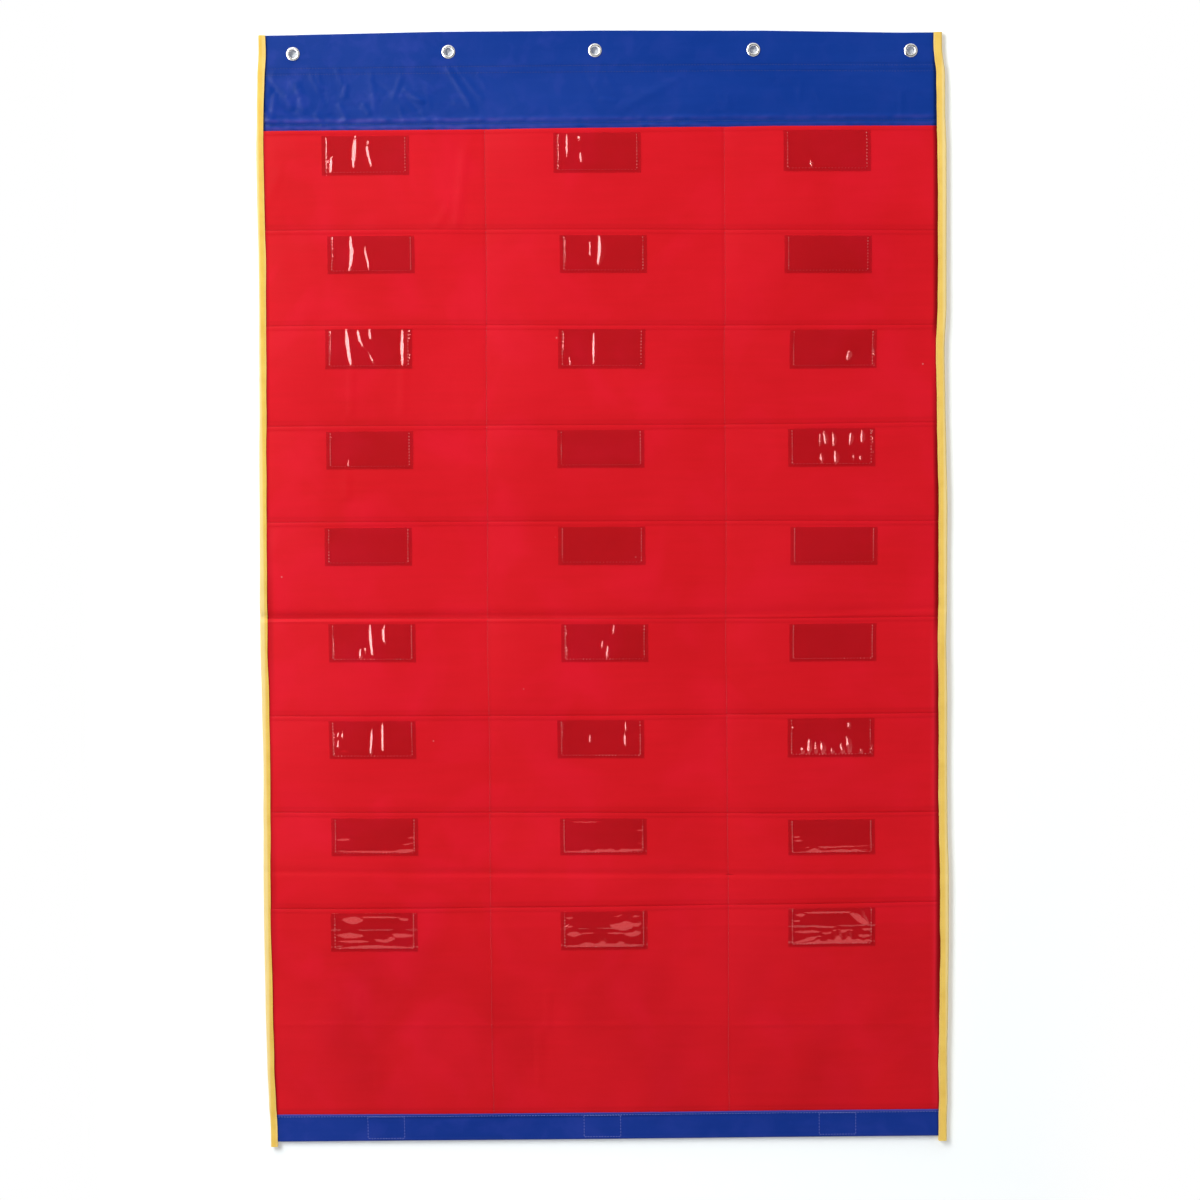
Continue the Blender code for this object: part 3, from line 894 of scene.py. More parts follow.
# %% Backing
BACKING_LAP, BACKING_CLEAR = 0.012, 0.004
backing_foot, backing_top = BAND_BOTTOM + BACKING_CLEAR, MOUTHS[0] + BACKING_LAP
beside_seam = (-0.0015, 0, 0.0015)
backing_x, backing_z = np.meshgrid(
    lines(-CLOTH_HALF, CLOTH_HALF, 0.005, around(DIVIDERS, beside_seam)),
    lines(backing_foot, backing_top, 0.005, around(SEAMS, beside_seam)),
)
sewn = 0.00012 * (divider_pull(backing_x) + sum(bell(backing_z, seam, 0.0016) for seam in SEAMS))
front = place(backing_x, backing_z, BACKING_FRONT - 0.5 * sewn)
rear = place(backing_x, backing_z, BACKING_BACK + sewn)
backing = shell("backing", front, rear, RED, "red_nylon")
# painted shade along the divider seams
store(backing, "painted_shade", lambda x, y, z: 0.4 * divider_pull(x))
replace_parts(backing, "backing_panel")
print("backing:", len(backing.data.polygons), "faces")

# %% [markdown]
# ## Header
#
# The header is one ply of blue cloth whose top is folded over to the back and hemmed. Its cross-section is
# a line that climbs the front, turns over the top and comes down behind. Carried across the chart it makes
# the whole piece. Five holes pass through both plies. For each, a square of cells is left out and its rim
# is drawn out onto a circle: a point's distance by the larger of its two offsets becomes its distance from
# the hole's centre.

# %% Header
HOLE_RADIUS = 0.0047
HOLE_CELL = 0.0042
HEADER_SEAM_Z = MOUTHS[0] + 0.0066
HEM_LINES = (TOP_Z - HEADER_HEM + 0.0025, TOP_Z - HEADER_HEM + 0.0090)
front_mid, rear_mid = HEADER_FRONT - CLOTH / 2, BACKING_BACK + CLOTH / 2
FOLD_RADIUS = (front_mid - rear_mid) / 2
grommet_x = np.array(GROMMET_SHARES) * CHART_WIDTH


def across_path(path_z, path_d):
    """The (z, depth) directions square to a path of (z, depth) points, one metre long."""
    tangent = np.stack([np.gradient(path_z), np.gradient(path_d)])
    tangent /= np.linalg.norm(tangent, axis=0)
    return -tangent[1], tangent[0]


def hole_lines(centre):
    """Grid lines round a hole: four cells across it and two beyond on each side."""
    return [centre + HOLE_CELL * k for k in (-2, -1.5, -1, -0.5, 0, 0.5, 1, 1.5, 2)]


def drawn_round(x, z, centres):
    """Draw the squares round the holes onto circles. Full effect at the hole's rim, none two cells away."""
    x, z = x.copy(), z.copy()
    for cx in centres:
        dx, dz = x - cx, z
        square, ring = np.maximum(np.abs(dx), np.abs(dz)), np.hypot(dx, dz)
        share = 1 - smooth(square, HOLE_CELL, 2 * HOLE_CELL)
        scale = np.where(ring > 1e-9, square * HOLE_RADIUS / HOLE_CELL / np.maximum(ring, 1e-9), 1)
        factor = 1 + share * (scale - 1)
        inside = square < 2 * HOLE_CELL
        x, z = np.where(inside, cx + dx * factor, x), np.where(inside, dz * factor, z)
    return x, z


LIPS = wave_set(51, 14, 0.008, 0.05)


def header_lips(x, z):
    """The seam at the header's foot draws the cloth in, so that it swells into a lip above and a lip below
    the stitches: two ridges whose heights wander along the seam."""
    above = (0.75 + 0.6 * waves(x, z * 0, LIPS)) * bell(z, HEADER_SEAM_Z + 0.0040, 0.0021)
    below = (0.90 + 0.5 * waves(x, z * 0 + 1, LIPS)) * bell(z, HEADER_SEAM_Z - 0.0034, 0.0019)
    return 0.00075 * (above + below) * (z < HEADER_SEAM_Z + 0.012)


def header_shade(x, y, z):
    """Painted shade beside the tapes and along the three rows of stitches."""
    sewn = sum(0.22 * bell(z, height, 0.0007) for height in (*HEM_LINES, HEADER_SEAM_Z))
    return np.maximum(0.9 * beside_tape(x), sewn)


def painted_lip_highlights(x, y, z):
    """Painted highlights on the two lips here and there, more so at the left."""
    lips = 0.55 * bell(z, HEADER_SEAM_Z + 0.0040, 0.0018) + 0.75 * bell(z, HEADER_SEAM_Z - 0.0040, 0.0020)
    return (1 - 0.6 * smooth(x, -0.30, 0.10)) * lips * (0.7 + 0.5 * waves(x, z, LIPS))


header_x = lines(-CLOTH_HALF, CLOTH_HALF, 0.002)
near_hole = np.min(np.abs(header_x[:, None] - grommet_x[None]), axis=1) < 2.2 * HOLE_CELL
header_x = np.sort(np.concatenate([header_x[~near_hole], *[hole_lines(centre) for centre in grommet_x]]))
hole_z, above_holes, below_holes = np.array(hole_lines(0.0)), np.array([0.0115, 0.0145, 0.0165]), -0.0105
front_z = np.concatenate([
    lines(MOUTHS[0] - HEADER_TUCK, MOUTHS[0] - 0.004, 0.004),
    lines(MOUTHS[0] - 0.002, below_holes, 0.0015, around([HEADER_SEAM_Z], (-0.0006, 0, 0.0006))),
    hole_z,
    above_holes,
])
turn = np.linspace(0, math.pi, 9)
fold_z = TOP_Z - FOLD_RADIUS - CLOTH / 2
hem_z = lines(TOP_Z - HEADER_HEM, below_holes, 0.003)
rear_z = np.concatenate([hem_z, hole_z, above_holes])[::-1]
path_z = np.concatenate([front_z, fold_z + FOLD_RADIUS * np.sin(turn), rear_z])
path_d = np.concatenate([
    np.full(len(front_z), front_mid),
    (front_mid + rear_mid) / 2 + FOLD_RADIUS * np.cos(turn),
    np.full(len(rear_z), rear_mid),
])
grid_x, grid_z = np.meshgrid(header_x, path_z)
on_path = (path_d, *across_path(path_z, path_d))
depth, out_z, out_d = (np.broadcast_to(v[:, None], grid_x.shape) for v in on_path)
flat_x, flat_z = drawn_round(grid_x, grid_z, grommet_x)
cell_x, cell_z = (header_x[:-1] + header_x[1:]) / 2, (path_z[:-1] + path_z[1:]) / 2
beside_hole = np.abs(cell_x[None] - grommet_x[:, None]).min(axis=0) < HOLE_CELL
dropped = (np.abs(cell_z)[:, None] < HOLE_CELL) & beside_hole[None]
depth = depth + header_lips(flat_x, flat_z) * (depth > (front_mid + rear_mid) / 2)
front, rear = (place(flat_x, flat_z + off * out_z, depth + off * out_d) for off in (CLOTH / 2, -CLOTH / 2))
header = shell("header", front, rear, BLUE, "blue_nylon", keep=~dropped)
store(header, "painted_shade", header_shade)
store(header, "painted_highlight", painted_lip_highlights)
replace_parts(header, "header_band")
print("header:", len(header.data.polygons), "faces,", int(dropped.sum()), "cells left out for holes")

# %% [markdown]
# ## Foot band
#
# The bottom edge is bound by a darker blue strip, folded up round the backing and the last pocket strip.
# It is made in the same way as the header: a U-shaped line carried across. The upper front edge is turned
# under, which gives it a small roll that catches the light, and a painted highlight makes that edge paler.

# %% Foot band
BAND_SEAM_Z = BAND_TOP - 0.0023
BAND_WAVES = wave_set(31, 12, 0.008, 0.035)


def band_swell(x, z):
    """The slight waves of the foot band's front."""
    return 0.00010 * (1 + waves(x, z, BAND_WAVES))


def band_shade(x, y, z):
    """Painted shade beside the tapes and along the row of stitches."""
    return np.maximum(0.9 * beside_tape(x), 0.6 * bell(z, BAND_SEAM_Z, 0.0006))


last_front = BACKING_FRONT + layer_rise(BAND_OVERLAP) + CLOTH
band_front_mid, band_back_mid = last_front + GAP + CLOTH / 2, BAND_BACK + CLOTH / 2
band_middle, band_radius = (band_front_mid + band_back_mid) / 2, (band_front_mid - band_back_mid) / 2
bend_z = BAND_BOTTOM + band_radius + CLOTH / 2
turn = np.linspace(math.pi, math.tau, 9)
edge_z = BAND_TOP - np.array([0.0028, 0.0023, 0.0019, 0.0014, 0.0008, 0.0003, 0.0])
rise_z = np.concatenate([lines(bend_z + 0.001, BAND_TOP - 0.0034, 0.0022), edge_z])
path_z = np.concatenate([rise_z[::-1], bend_z + band_radius * np.sin(turn), rise_z])
path_d = np.concatenate([
    np.full(len(rise_z), band_back_mid),
    band_middle + band_radius * np.cos(turn),
    np.full(len(rise_z), band_front_mid),
])
on_front = np.arange(len(path_z)) >= len(rise_z) + len(turn)
grid_x, grid_z = np.meshgrid(lines(-CLOTH_HALF, CLOTH_HALF, 0.0025), path_z)
on_path = (path_d, *across_path(path_z, path_d), on_front)
depth, out_z, out_d, on_front = (np.broadcast_to(v[:, None], grid_x.shape) for v in on_path)
depth = depth + band_swell(grid_x, grid_z) * on_front
roll = 0.00045 * on_front * bell(grid_z, BAND_TOP - 0.0009, 0.0009)
front = place(grid_x, grid_z + out_z * CLOTH / 2, depth + out_d * CLOTH / 2 + roll)
rear = place(grid_x, grid_z - out_z * CLOTH / 2, depth - out_d * CLOTH / 2)
band = shell("foot_band", front, rear, NAVY, "navy_nylon")
store(band, "painted_shade", band_shade)
# painted highlight along the band's top edge
store(band, "painted_highlight", lambda x, y, z: 0.8 * smooth(z, BAND_TOP + 0.0004, BAND_TOP + 0.0012))
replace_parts(band, "bottom_band")
print("foot band:", len(band.data.polygons), "faces")

# %% [markdown]
# ## Side tapes
#
# Yellow twill tape is folded round each side edge and sewn through. Its cross-section is a narrow U with a
# soft, rounded outer edge. The flap is gently puckered, with a small dent every 4.5 millimetres. The right
# tape shows wider than the left one, as in the photograph.

# %% Tape finish and tapes
TAPE_FRONT = BACKING_FRONT + layer_rise(STRIP_LENGTH) + CLOTH + GAP + TAPE / 2
TAPE_BACK = BAND_BACK - GAP - TAPE / 2
TAPE_MIDDLE = (TAPE_FRONT + TAPE_BACK) / 2
TAPE_WEB = CHART_WIDTH / 2 - TAPE / 2
TAPE_LOW = BAND_BOTTOM - TAIL
TAPE_ROUNDING, TAPE_CROWN = 0.0016, 0.00035


def tape_finish():
    """Diagonal twill of soft yellow cotton, lighter on the crowns of the threads. The whole right tape is
    made lighter as painted light, and stored numbers add painted shade towards the back and painted
    highlights."""
    made, tree, place = new_material("yellow_twill_tape")
    x, _, z = separate(tree, place)
    slanted = weighted_sum(tree, (x, math.tau / 0.0009), (z, math.tau / 0.0011))
    twill = to_share(tree, math_node(tree, "SINE", slanted))
    thread = to_share(tree, ripple(tree, z, 0.00055))
    tone = weighted_sum(tree, (noise(tree, place, 60.0, 4.0), 0.7), (twill, 0.25), (thread, 0.1))
    # painted light: the right tape is made lighter, as though lit more
    tone = math_node(tree, "ADD", tone, remap(tree, x, -0.1, 0.1, 0.0, 0.15))
    colour = blend(tree, remap(tree, tone, 0.3, 0.75), (0.82, 0.50, 0.075), (0.97, 0.66, 0.135))
    colour = blend(tree, stored(tree, "painted_shade"), colour, (0.40, 0.17, 0.03))
    colour = blend(tree, stored(tree, "pale_edge"), colour, (1.0, 0.82, 0.40))
    bumped = bump(tree, thread, 0.00005, 0.6, bump(tree, twill, 0.0001, 0.8))
    shader = principled(tree, colour, 0.72, bumped, {"Specular IOR Level": 0.2, "Sheen Weight": 0.08})
    return with_surface(made, shader)


YELLOW = tape_finish()


def tape_profile(width):
    """Cross-section as (distance from the middle of the chart, depth): a flap, a rounded edge, a flap
    behind."""
    turn = np.linspace(math.pi / 2, -math.pi / 2, 13)
    edge_x = TAPE_WEB - TAPE_ROUNDING + TAPE_ROUNDING * np.cos(turn)
    edge_d = TAPE_MIDDLE + (TAPE_FRONT - TAPE_BACK) / 2 * np.sin(turn)
    edge_crown = np.where(edge_d > TAPE_MIDDLE, TAPE_CROWN * np.sin(np.clip(turn, 0, None)), 0)
    flap = np.linspace(CHART_WIDTH / 2 - width, TAPE_WEB - TAPE_ROUNDING, 8)[:-1]
    flap_crown = TAPE_CROWN * np.sin(np.linspace(0.1, 1, 7) * math.pi / 2)
    across = np.concatenate([flap, edge_x, flap[::-1]])
    return across, np.concatenate([TAPE_FRONT + flap_crown, edge_d + edge_crown, np.full(7, TAPE_BACK)])


def make_tape(name, side, width):
    """Carry the cross-section down the side edge, with evenly spaced puckers in its front flap."""
    across, depth = tape_profile(width)
    a, z = np.meshgrid(across, lines(TAPE_LOW, TOP_Z, 0.0020))
    out_a, out_d = across_path(across, depth)
    d, out_a, out_d = (np.broadcast_to(v, a.shape) for v in (depth, out_a, out_d))
    from_edge = CHART_WIDTH / 2 - a
    wander = waves(z * 0 + side, z, wave_set(41 + side, 10, 0.02, 0.11))
    wobble = 0.00035 * wander * smooth(from_edge, 0.002, width)
    dents = np.sin(z * math.tau / 0.0045) * smooth(from_edge, 0.0005, 0.005)
    pucker = 0.00008 * dents * (d > TAPE_MIDDLE)

    def skin(off):
        return place(side * (a + out_a * off + wobble), z, d + out_d * off + pucker)[:, ::side]

    made = shell(name, skin(TAPE / 2), skin(-TAPE / 2), YELLOW, "yellow_binding", smooth_below=50)
    # painted shade towards the back, on the rolled edge and the flap behind
    store(made, "painted_shade", lambda x, y, z: 0.25 * smooth(y, -0.0028, -0.0008))
    store(made, "pale_edge", lambda x, y, z: pale_edges(x, y, CHART_WIDTH / 2 - width))
    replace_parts(made, f"side_binding_{'left' if side < 0 else 'right'}")
    return made


def pale_edges(x, y, inner):
    """The tape's two front edges catch the light: its inner edge a little, its outer edge more."""
    inside = 0.25 * (1 - smooth(np.abs(x), inner + 0.0004, inner + 0.0016))
    return np.maximum(inside, 0.6 * smooth(np.abs(x), 0.3532, 0.3548)) * (y < -0.003)


tapes = [make_tape("side_tape_left", -1, LEFT_TAPE), make_tape("side_tape_right", 1, RIGHT_TAPE)]
print("tapes:", [len(tape.data.polygons) for tape in tapes])

# %% [markdown]
# ## Card windows
#
# A window is a piece of clear vinyl, sewn on at both sides and along the bottom and open at the top. Vinyl
# that has been folded keeps small ridges, and each one mirrors the lamp as a bright streak. In the
# photograph some windows have five or six streaks and others none. They come from a table: each ridge has
# a width in millimetres and the points that it passes, as shares of the window's width and height.
#
# Real clear film is a mirror and a window at once. The Fresnel law says how much it mirrors, so a Fresnel
# node mixes a glossy shader with a transparent one, whose slight grey dims the cloth behind. The gloss is
# tinted pink, because the film lies on red cloth and its sheen picks that up. Light isn't bent here, so a
# ray leaving the film gets the inverse index. Otherwise it would be trapped as if inside solid glass.
# Where the film stands off as a tipped flank it drops its grey, a painted light that brightens the cloth
# behind as though the flank threw more light onto it.


# %% Vinyl finish
VINYL_INDEX = 1.54


def vinyl_finish():
    """Clear film: mostly seen through, a little mirrored, more so at a glancing angle."""
    made, tree, place = new_material("clear_vinyl_film")
    bumped = bump(tree, noise(tree, place, 90.0, 2.0), 0.00004)
    rough = remap(tree, noise(tree, place, 260.0, 3.0), 0.35, 0.7, 0.04, 0.10)
    # painted light: where a level ridge's flank is tipped the film loses its grey
    dims = blend(tree, stored(tree, "tipped_film"), (0.945, 0.952, 0.952), (1.0, 1.0, 1.0))
    clear = add_node(tree, "ShaderNodeBsdfTransparent", sockets={"Color": dims}).outputs[0]
    gloss = {"Color": (1.0, 0.56, 0.54, 1), "Roughness": rough, "Normal": bumped}
    gloss = add_node(tree, "ShaderNodeBsdfGlossy", sockets=gloss).outputs[0]
    leaving = add_node(tree, "ShaderNodeNewGeometry").outputs["Backfacing"]
    index = math_node(tree, "MULTIPLY_ADD", leaving, 1 / VINYL_INDEX - VINYL_INDEX, VINYL_INDEX)
    share = add_node(tree, "ShaderNodeFresnel", sockets={"IOR": index, "Normal": bumped}).outputs[0]
    return with_surface(made, mix_shaders(tree, share, clear, gloss))


CLEAR = vinyl_finish()

# %% Places of the ridges
# upright ridges: width in mm, then (share of the width, share of the height) from top to bottom
UPRIGHT = {
    (1, 1): [(3.1, (0.114, 0.47), (0.096, 0.06)), (4.0, (0.386, 1.0), (0.377, 0.73), (0.36, 0.18)),
             (2.6, (0.535, 0.86), (0.518, 0.69), (0.535, 0.49), (0.575, 0.18))],
    (1, 2): [(1.8, (0.153, 0.96), (0.153, 0.37)), (1.5, (0.293, 0.92), (0.293, 0.80)),
             (1.9, (0.304, 0.51), (0.316, 0.25))],
    (1, 3): [(1.5, (0.31, 0.24), (0.31, 0.10))],
    (2, 1): [(3.9, (0.272, 0.99), (0.267, 0.8), (0.281, 0.59), (0.267, 0.27), (0.24, 0.07)),
             (2.2, (0.428, 0.70), (0.442, 0.49), (0.465, 0.27), (0.472, 0.10))],
    (2, 2): [(1.6, (0.346, 0.84), (0.346, 0.44)),
             (3.1, (0.456, 0.99), (0.456, 0.55), (0.444, 0.39), (0.433, 0.18))],
    (3, 1): [(4.3, (0.240, 1.0), (0.258, 0.61), (0.293, 0.08)),
             (3.0, (0.367, 1.0), (0.402, 0.69), (0.454, 0.52)), (1.7, (0.486, 0.46), (0.577, 0.08)),
             (2.7, (0.504, 1.0), (0.521, 0.74)), (3.5, (0.886, 1.0), (0.886, 0.06))],
    (3, 2): [(2.2, (0.406, 0.91), (0.406, 0.10)), (1.5, (0.121, 0.29), (0.139, 0.09))],
    (3, 3): [(2.2, (0.684, 0.46), (0.657, 0.22))],
    (4, 1): [(1.6, (0.25, 0.26), (0.25, 0.08))],
    (4, 3): [(1.2, (0.365, 0.87), (0.365, 0.54)), (1.9, (0.41, 0.93), (0.428, 0.56)),
             (1.7, (0.518, 0.90), (0.518, 0.52)), (1.9, (0.719, 0.88), (0.70, 0.56)),
             (1.9, (0.846, 0.94), (0.839, 0.60)), (1.5, (0.375, 0.34), (0.375, 0.09)),
             (2.1, (0.533, 0.42), (0.54, 0.07)), (0.9, (0.74, 0.38), (0.74, 0.13)),
             (1.1, (0.823, 0.32), (0.823, 0.15))],
    (6, 1): [(3.0, (0.478, 0.99), (0.48, 0.65), (0.50, 0.17)),
             (2.6, (0.65, 0.97), (0.627, 0.81), (0.641, 0.48)), (2.3, (0.366, 0.35), (0.355, 0.11)),
             (1.5, (0.42, 0.40), (0.41, 0.23))],
    (6, 2): [(1.4, (0.607, 0.99), (0.596, 0.74)), (1.4, (0.477, 0.57), (0.463, 0.36)),
             (1.7, (0.537, 0.46), (0.518, 0.11))],
    (7, 1): [(2.3, (0.50, 0.80), (0.471, 0.13)), (2.4, (0.62, 0.97), (0.611, 0.20)),
             (1.6, (0.11, 0.72), (0.094, 0.56)), (1.7, (0.161, 0.72), (0.149, 0.56)),
             (1.9, (0.105, 0.48), (0.092, 0.29))],
    (7, 2): [(1.4, (0.37, 0.67), (0.37, 0.42)), (1.6, (0.784, 0.93), (0.784, 0.71)),
             (1.6, (0.775, 0.66), (0.775, 0.32))],
    (7, 3): [(1.6, (0.162, 0.30), (0.162, 0.08)), (2.1, (0.245, 0.50), (0.233, 0.10)),
             (1.7, (0.318, 0.38), (0.318, 0.10)), (2.3, (0.386, 0.41), (0.395, 0.08)),
             (1.5, (0.505, 0.24), (0.505, 0.08)), (1.8, (0.61, 0.35), (0.625, 0.08)),
             (2.1, (0.676, 0.56), (0.706, 0.10)), (1.4, (0.838, 0.23), (0.838, 0.08)),
             (1.5, (0.70, 0.92), (0.70, 0.73))],
}
# the stretch (share of the height) where the film puckers brightly inside the left seam, and outside the
# right one
LEFT_PUCKERS = {
    (1, 1): (0.15, 0.95), (1, 2): (0.10, 0.98), (2, 1): (0.33, 0.97), (2, 2): (0.25, 0.95),
    (3, 1): (0.08, 0.97), (3, 2): (0.35, 0.98), (4, 1): (0.62, 0.98), (5, 1): (0.60, 0.90),
    (6, 1): (0.08, 0.70), (6, 2): (0.15, 0.95), (7, 1): (0.10, 0.95), (7, 2): (0.55, 0.95),
    (7, 3): (0.70, 0.95),
}
RIGHT_PUCKERS = {
    (3, 1): (0.20, 0.97), (3, 3): (0.05, 0.95), (4, 3): (0.08, 0.95), (7, 3): (0.05, 0.35),
    (8, 3): (0.22, 0.32),
}
# level ridges of the lowest rows: height in mm (but never more than 0.45 of the length), raggedness from 0
# to 1, then points from left to right
LEVEL_RIDGES = {
    (7, 1): [(1.9, 0.1, (0.12, 0.20), (0.22, 0.20))],
    (8, 1): [(2.0, 0.1, (0.11, 0.12), (0.64, 0.11), (0.96, 0.15)), (4.7, 0.1, (0.72, 0.12), (0.97, 0.15)),
             (3.2, 0.3, (0.06, 0.43), (0.23, 0.45)), (1.9, 0.3, (0.80, 0.30), (0.95, 0.33)),
             (1.9, 0.3, (0.87, 0.47), (0.96, 0.50))],
    (8, 2): [(1.6, 0.0, (0.11, 0.90), (0.48, 0.90)), (5.1, 0.7, (0.04, 0.11), (0.6, 0.11), (0.95, 0.15)),
             (2.6, 0.1, (0.68, 0.12), (0.96, 0.16)), (1.9, 0.4, (0.88, 0.32), (0.95, 0.32)),
             (1.9, 0.4, (0.88, 0.68), (0.95, 0.68))],
    (8, 3): [(2.2, 0.0, (0.13, 0.21), (0.60, 0.22), (0.96, 0.25)), (5.5, 0.7, (0.05, 0.09), (0.96, 0.10)),
             (2.6, 0.2, (0.06, 0.52), (0.15, 0.52)), (2.6, 0.2, (0.06, 0.41), (0.18, 0.42))],
    (9, 1): [(8.8, 0.2, (0.13, 0.84), (0.38, 0.82)), (1.9, 0.0, (0.08, 0.90), (0.90, 0.89)),
             (3.2, 0.1, (0.78, 0.85), (0.91, 0.83)), (7.3, 0.3, (0.07, 0.43), (0.38, 0.42)),
             (8.0, 0.6, (0.50, 0.32), (0.74, 0.34)), (4.7, 0.5, (0.62, 0.42), (0.96, 0.41)),
             (3.2, 0.2, (0.07, 0.27), (0.45, 0.27)), (3.5, 0.1, (0.06, 0.08), (0.96, 0.10))],
    (9, 2): [(4.3, 0.5, (0.60, 0.87), (0.92, 0.87)), (12.0, 0.3, (0.56, 0.63), (0.93, 0.66)),
             (6.6, 0.3, (0.72, 0.41), (0.93, 0.43)), (1.6, 0.1, (0.20, 0.44), (0.40, 0.44)),
             (2.0, 0.1, (0.52, 0.43), (0.76, 0.43)), (5.8, 0.5, (0.07, 0.42), (0.24, 0.42)),
             (3.0, 0.3, (0.06, 0.62), (0.16, 0.62)), (2.6, 0.3, (0.06, 0.84), (0.15, 0.84)),
             (6.9, 0.5, (0.06, 0.11), (0.93, 0.12))],
    (9, 3): [(2.0, 0.0, (0.08, 0.89), (0.90, 0.89)), (4.3, 0.2, (0.08, 0.84), (0.20, 0.84)),
             (9.5, 0.1, (0.71, 0.86), (0.93, 0.58)), (5.1, 0.3, (0.06, 0.68), (0.13, 0.68)),
             (2.4, 0.4, (0.27, 0.53), (0.62, 0.51)), (3.2, 0.3, (0.07, 0.40), (0.38, 0.40)),
             (5.1, 0.5, (0.38, 0.38), (0.50, 0.38)), (4.7, 0.4, (0.50, 0.42), (0.75, 0.42)),
             (2.7, 0.2, (0.84, 0.44), (0.96, 0.44)), (4.7, 0.2, (0.07, 0.11), (0.40, 0.29)),
             (8.4, 0.7, (0.20, 0.15), (0.96, 0.15)), (3.2, 0.1, (0.77, 0.27), (0.96, 0.27)),
             (2.7, 0.1, (0.06, 0.07), (0.96, 0.07))],
}
SIDE_SEAM, FOOT_SEAM, STITCH_PITCH = 0.0042, 0.0032, 0.0034
TIPPED = 0.21
RIDGE_HEIGHT_SHARE = 0.45
ridge_counts = [sum(len(ridges) for ridges in table.values()) for table in (UPRIGHT, LEVEL_RIDGES)]
print("upright and level ridges:", ridge_counts)

# %% [markdown]
# ## The shape of a ridge
#
# A ridge of stiff film isn't round. It is a flat flank, and the flat flank is why its streak is so even
# and so sharply cut. For the streak to show, the flank must face halfway between the strip lamp and the
# viewer, so its slope is worked out from those two places. Behind the flank the film falls back to the
# cloth more gently.
#
# The level ridges of the lowest rows are the same, turned round: their flank is tipped down and mirrors
# the pale floor.

# %% Window relief
LAMP_PLACE = CHART_MIDDLE + STRIP_DISTANCE * away_from_chart(STRIP_AZIMUTH, STRIP_ELEVATION)


def lit_slope(x, z):
    """Slope of a flank that mirrors the strip lamp: the sum of the unit directions to lamp and viewer gives
    the way it faces, and the slope is that sum's sideways part over its forward part."""
    point = np.stack(np.broadcast_arrays(x, 0.0 * z, z), axis=-1)
    ways = (LAMP_PLACE - point, VIEWER - point)
    halfway = sum(way / np.linalg.norm(way, axis=-1, keepdims=True) for way in ways)
    return halfway[..., 0] / halfway[..., 1]


def flank(across, here, base, start, width, slope, fall_over):
    """How far one ridge lifts the film, whose own depth is `here`. On the flank the depth is base(start) +
    slope * (across - start). Past the flank the lift falls evenly to nothing over fall_over widths."""
    off = across - start
    foot, crest = base(start), base(start + width)
    left = np.maximum(foot + slope * width - crest, 0)
    fall = left * np.clip(1 - (off - width) / np.maximum(fall_over * width, 1e-6), 0, 1)
    return np.where((off <= 0) | (width < 1e-5), 0, np.where(off < width, foot + slope * off - here, fall))


def path_share(at, points, order, power=0.5):
    """The place of a ridge's middle at each share `at`, and its taper sin(pi * t)^power from end to end."""
    first, second = np.array(points).T[::order]
    ranked = np.argsort(first)
    t = np.clip((at - first.min()) / (first.max() - first.min()), 0, 1)
    return np.interp(at, first[ranked], second[ranked]), np.sin(np.pi * t) ** power


def puckers(row, column, side):
    """Short bright puckers, one to a stitch along part of a seam, with a fifth of them missing."""
    table = LEFT_PUCKERS if side < 0 else RIGHT_PUCKERS
    if (row, column) not in table:
        return []
    rng = np.random.default_rng(1000 * row + 10 * column + side)
    low, high = table[row, column]
    count = max(int((high - low) * WINDOW_HEIGHT / STITCH_PITCH), 1)
    middle = low + (np.arange(count) + 0.5) * (high - low) / count
    at = (SIDE_SEAM + 0.0010 if side < 0 else WINDOW_WIDTH - SIDE_SEAM + 0.0012) / WINDOW_WIDTH
    half = rng.uniform(0.020, 0.036, count)
    wide = rng.uniform(0.7, 1.15, count)
    kept = rng.uniform(0, 1, count) > 0.2
    return [(w, (at, m + h), (at, m - h)) for w, m, h in zip(wide[kept], middle[kept], half[kept])]


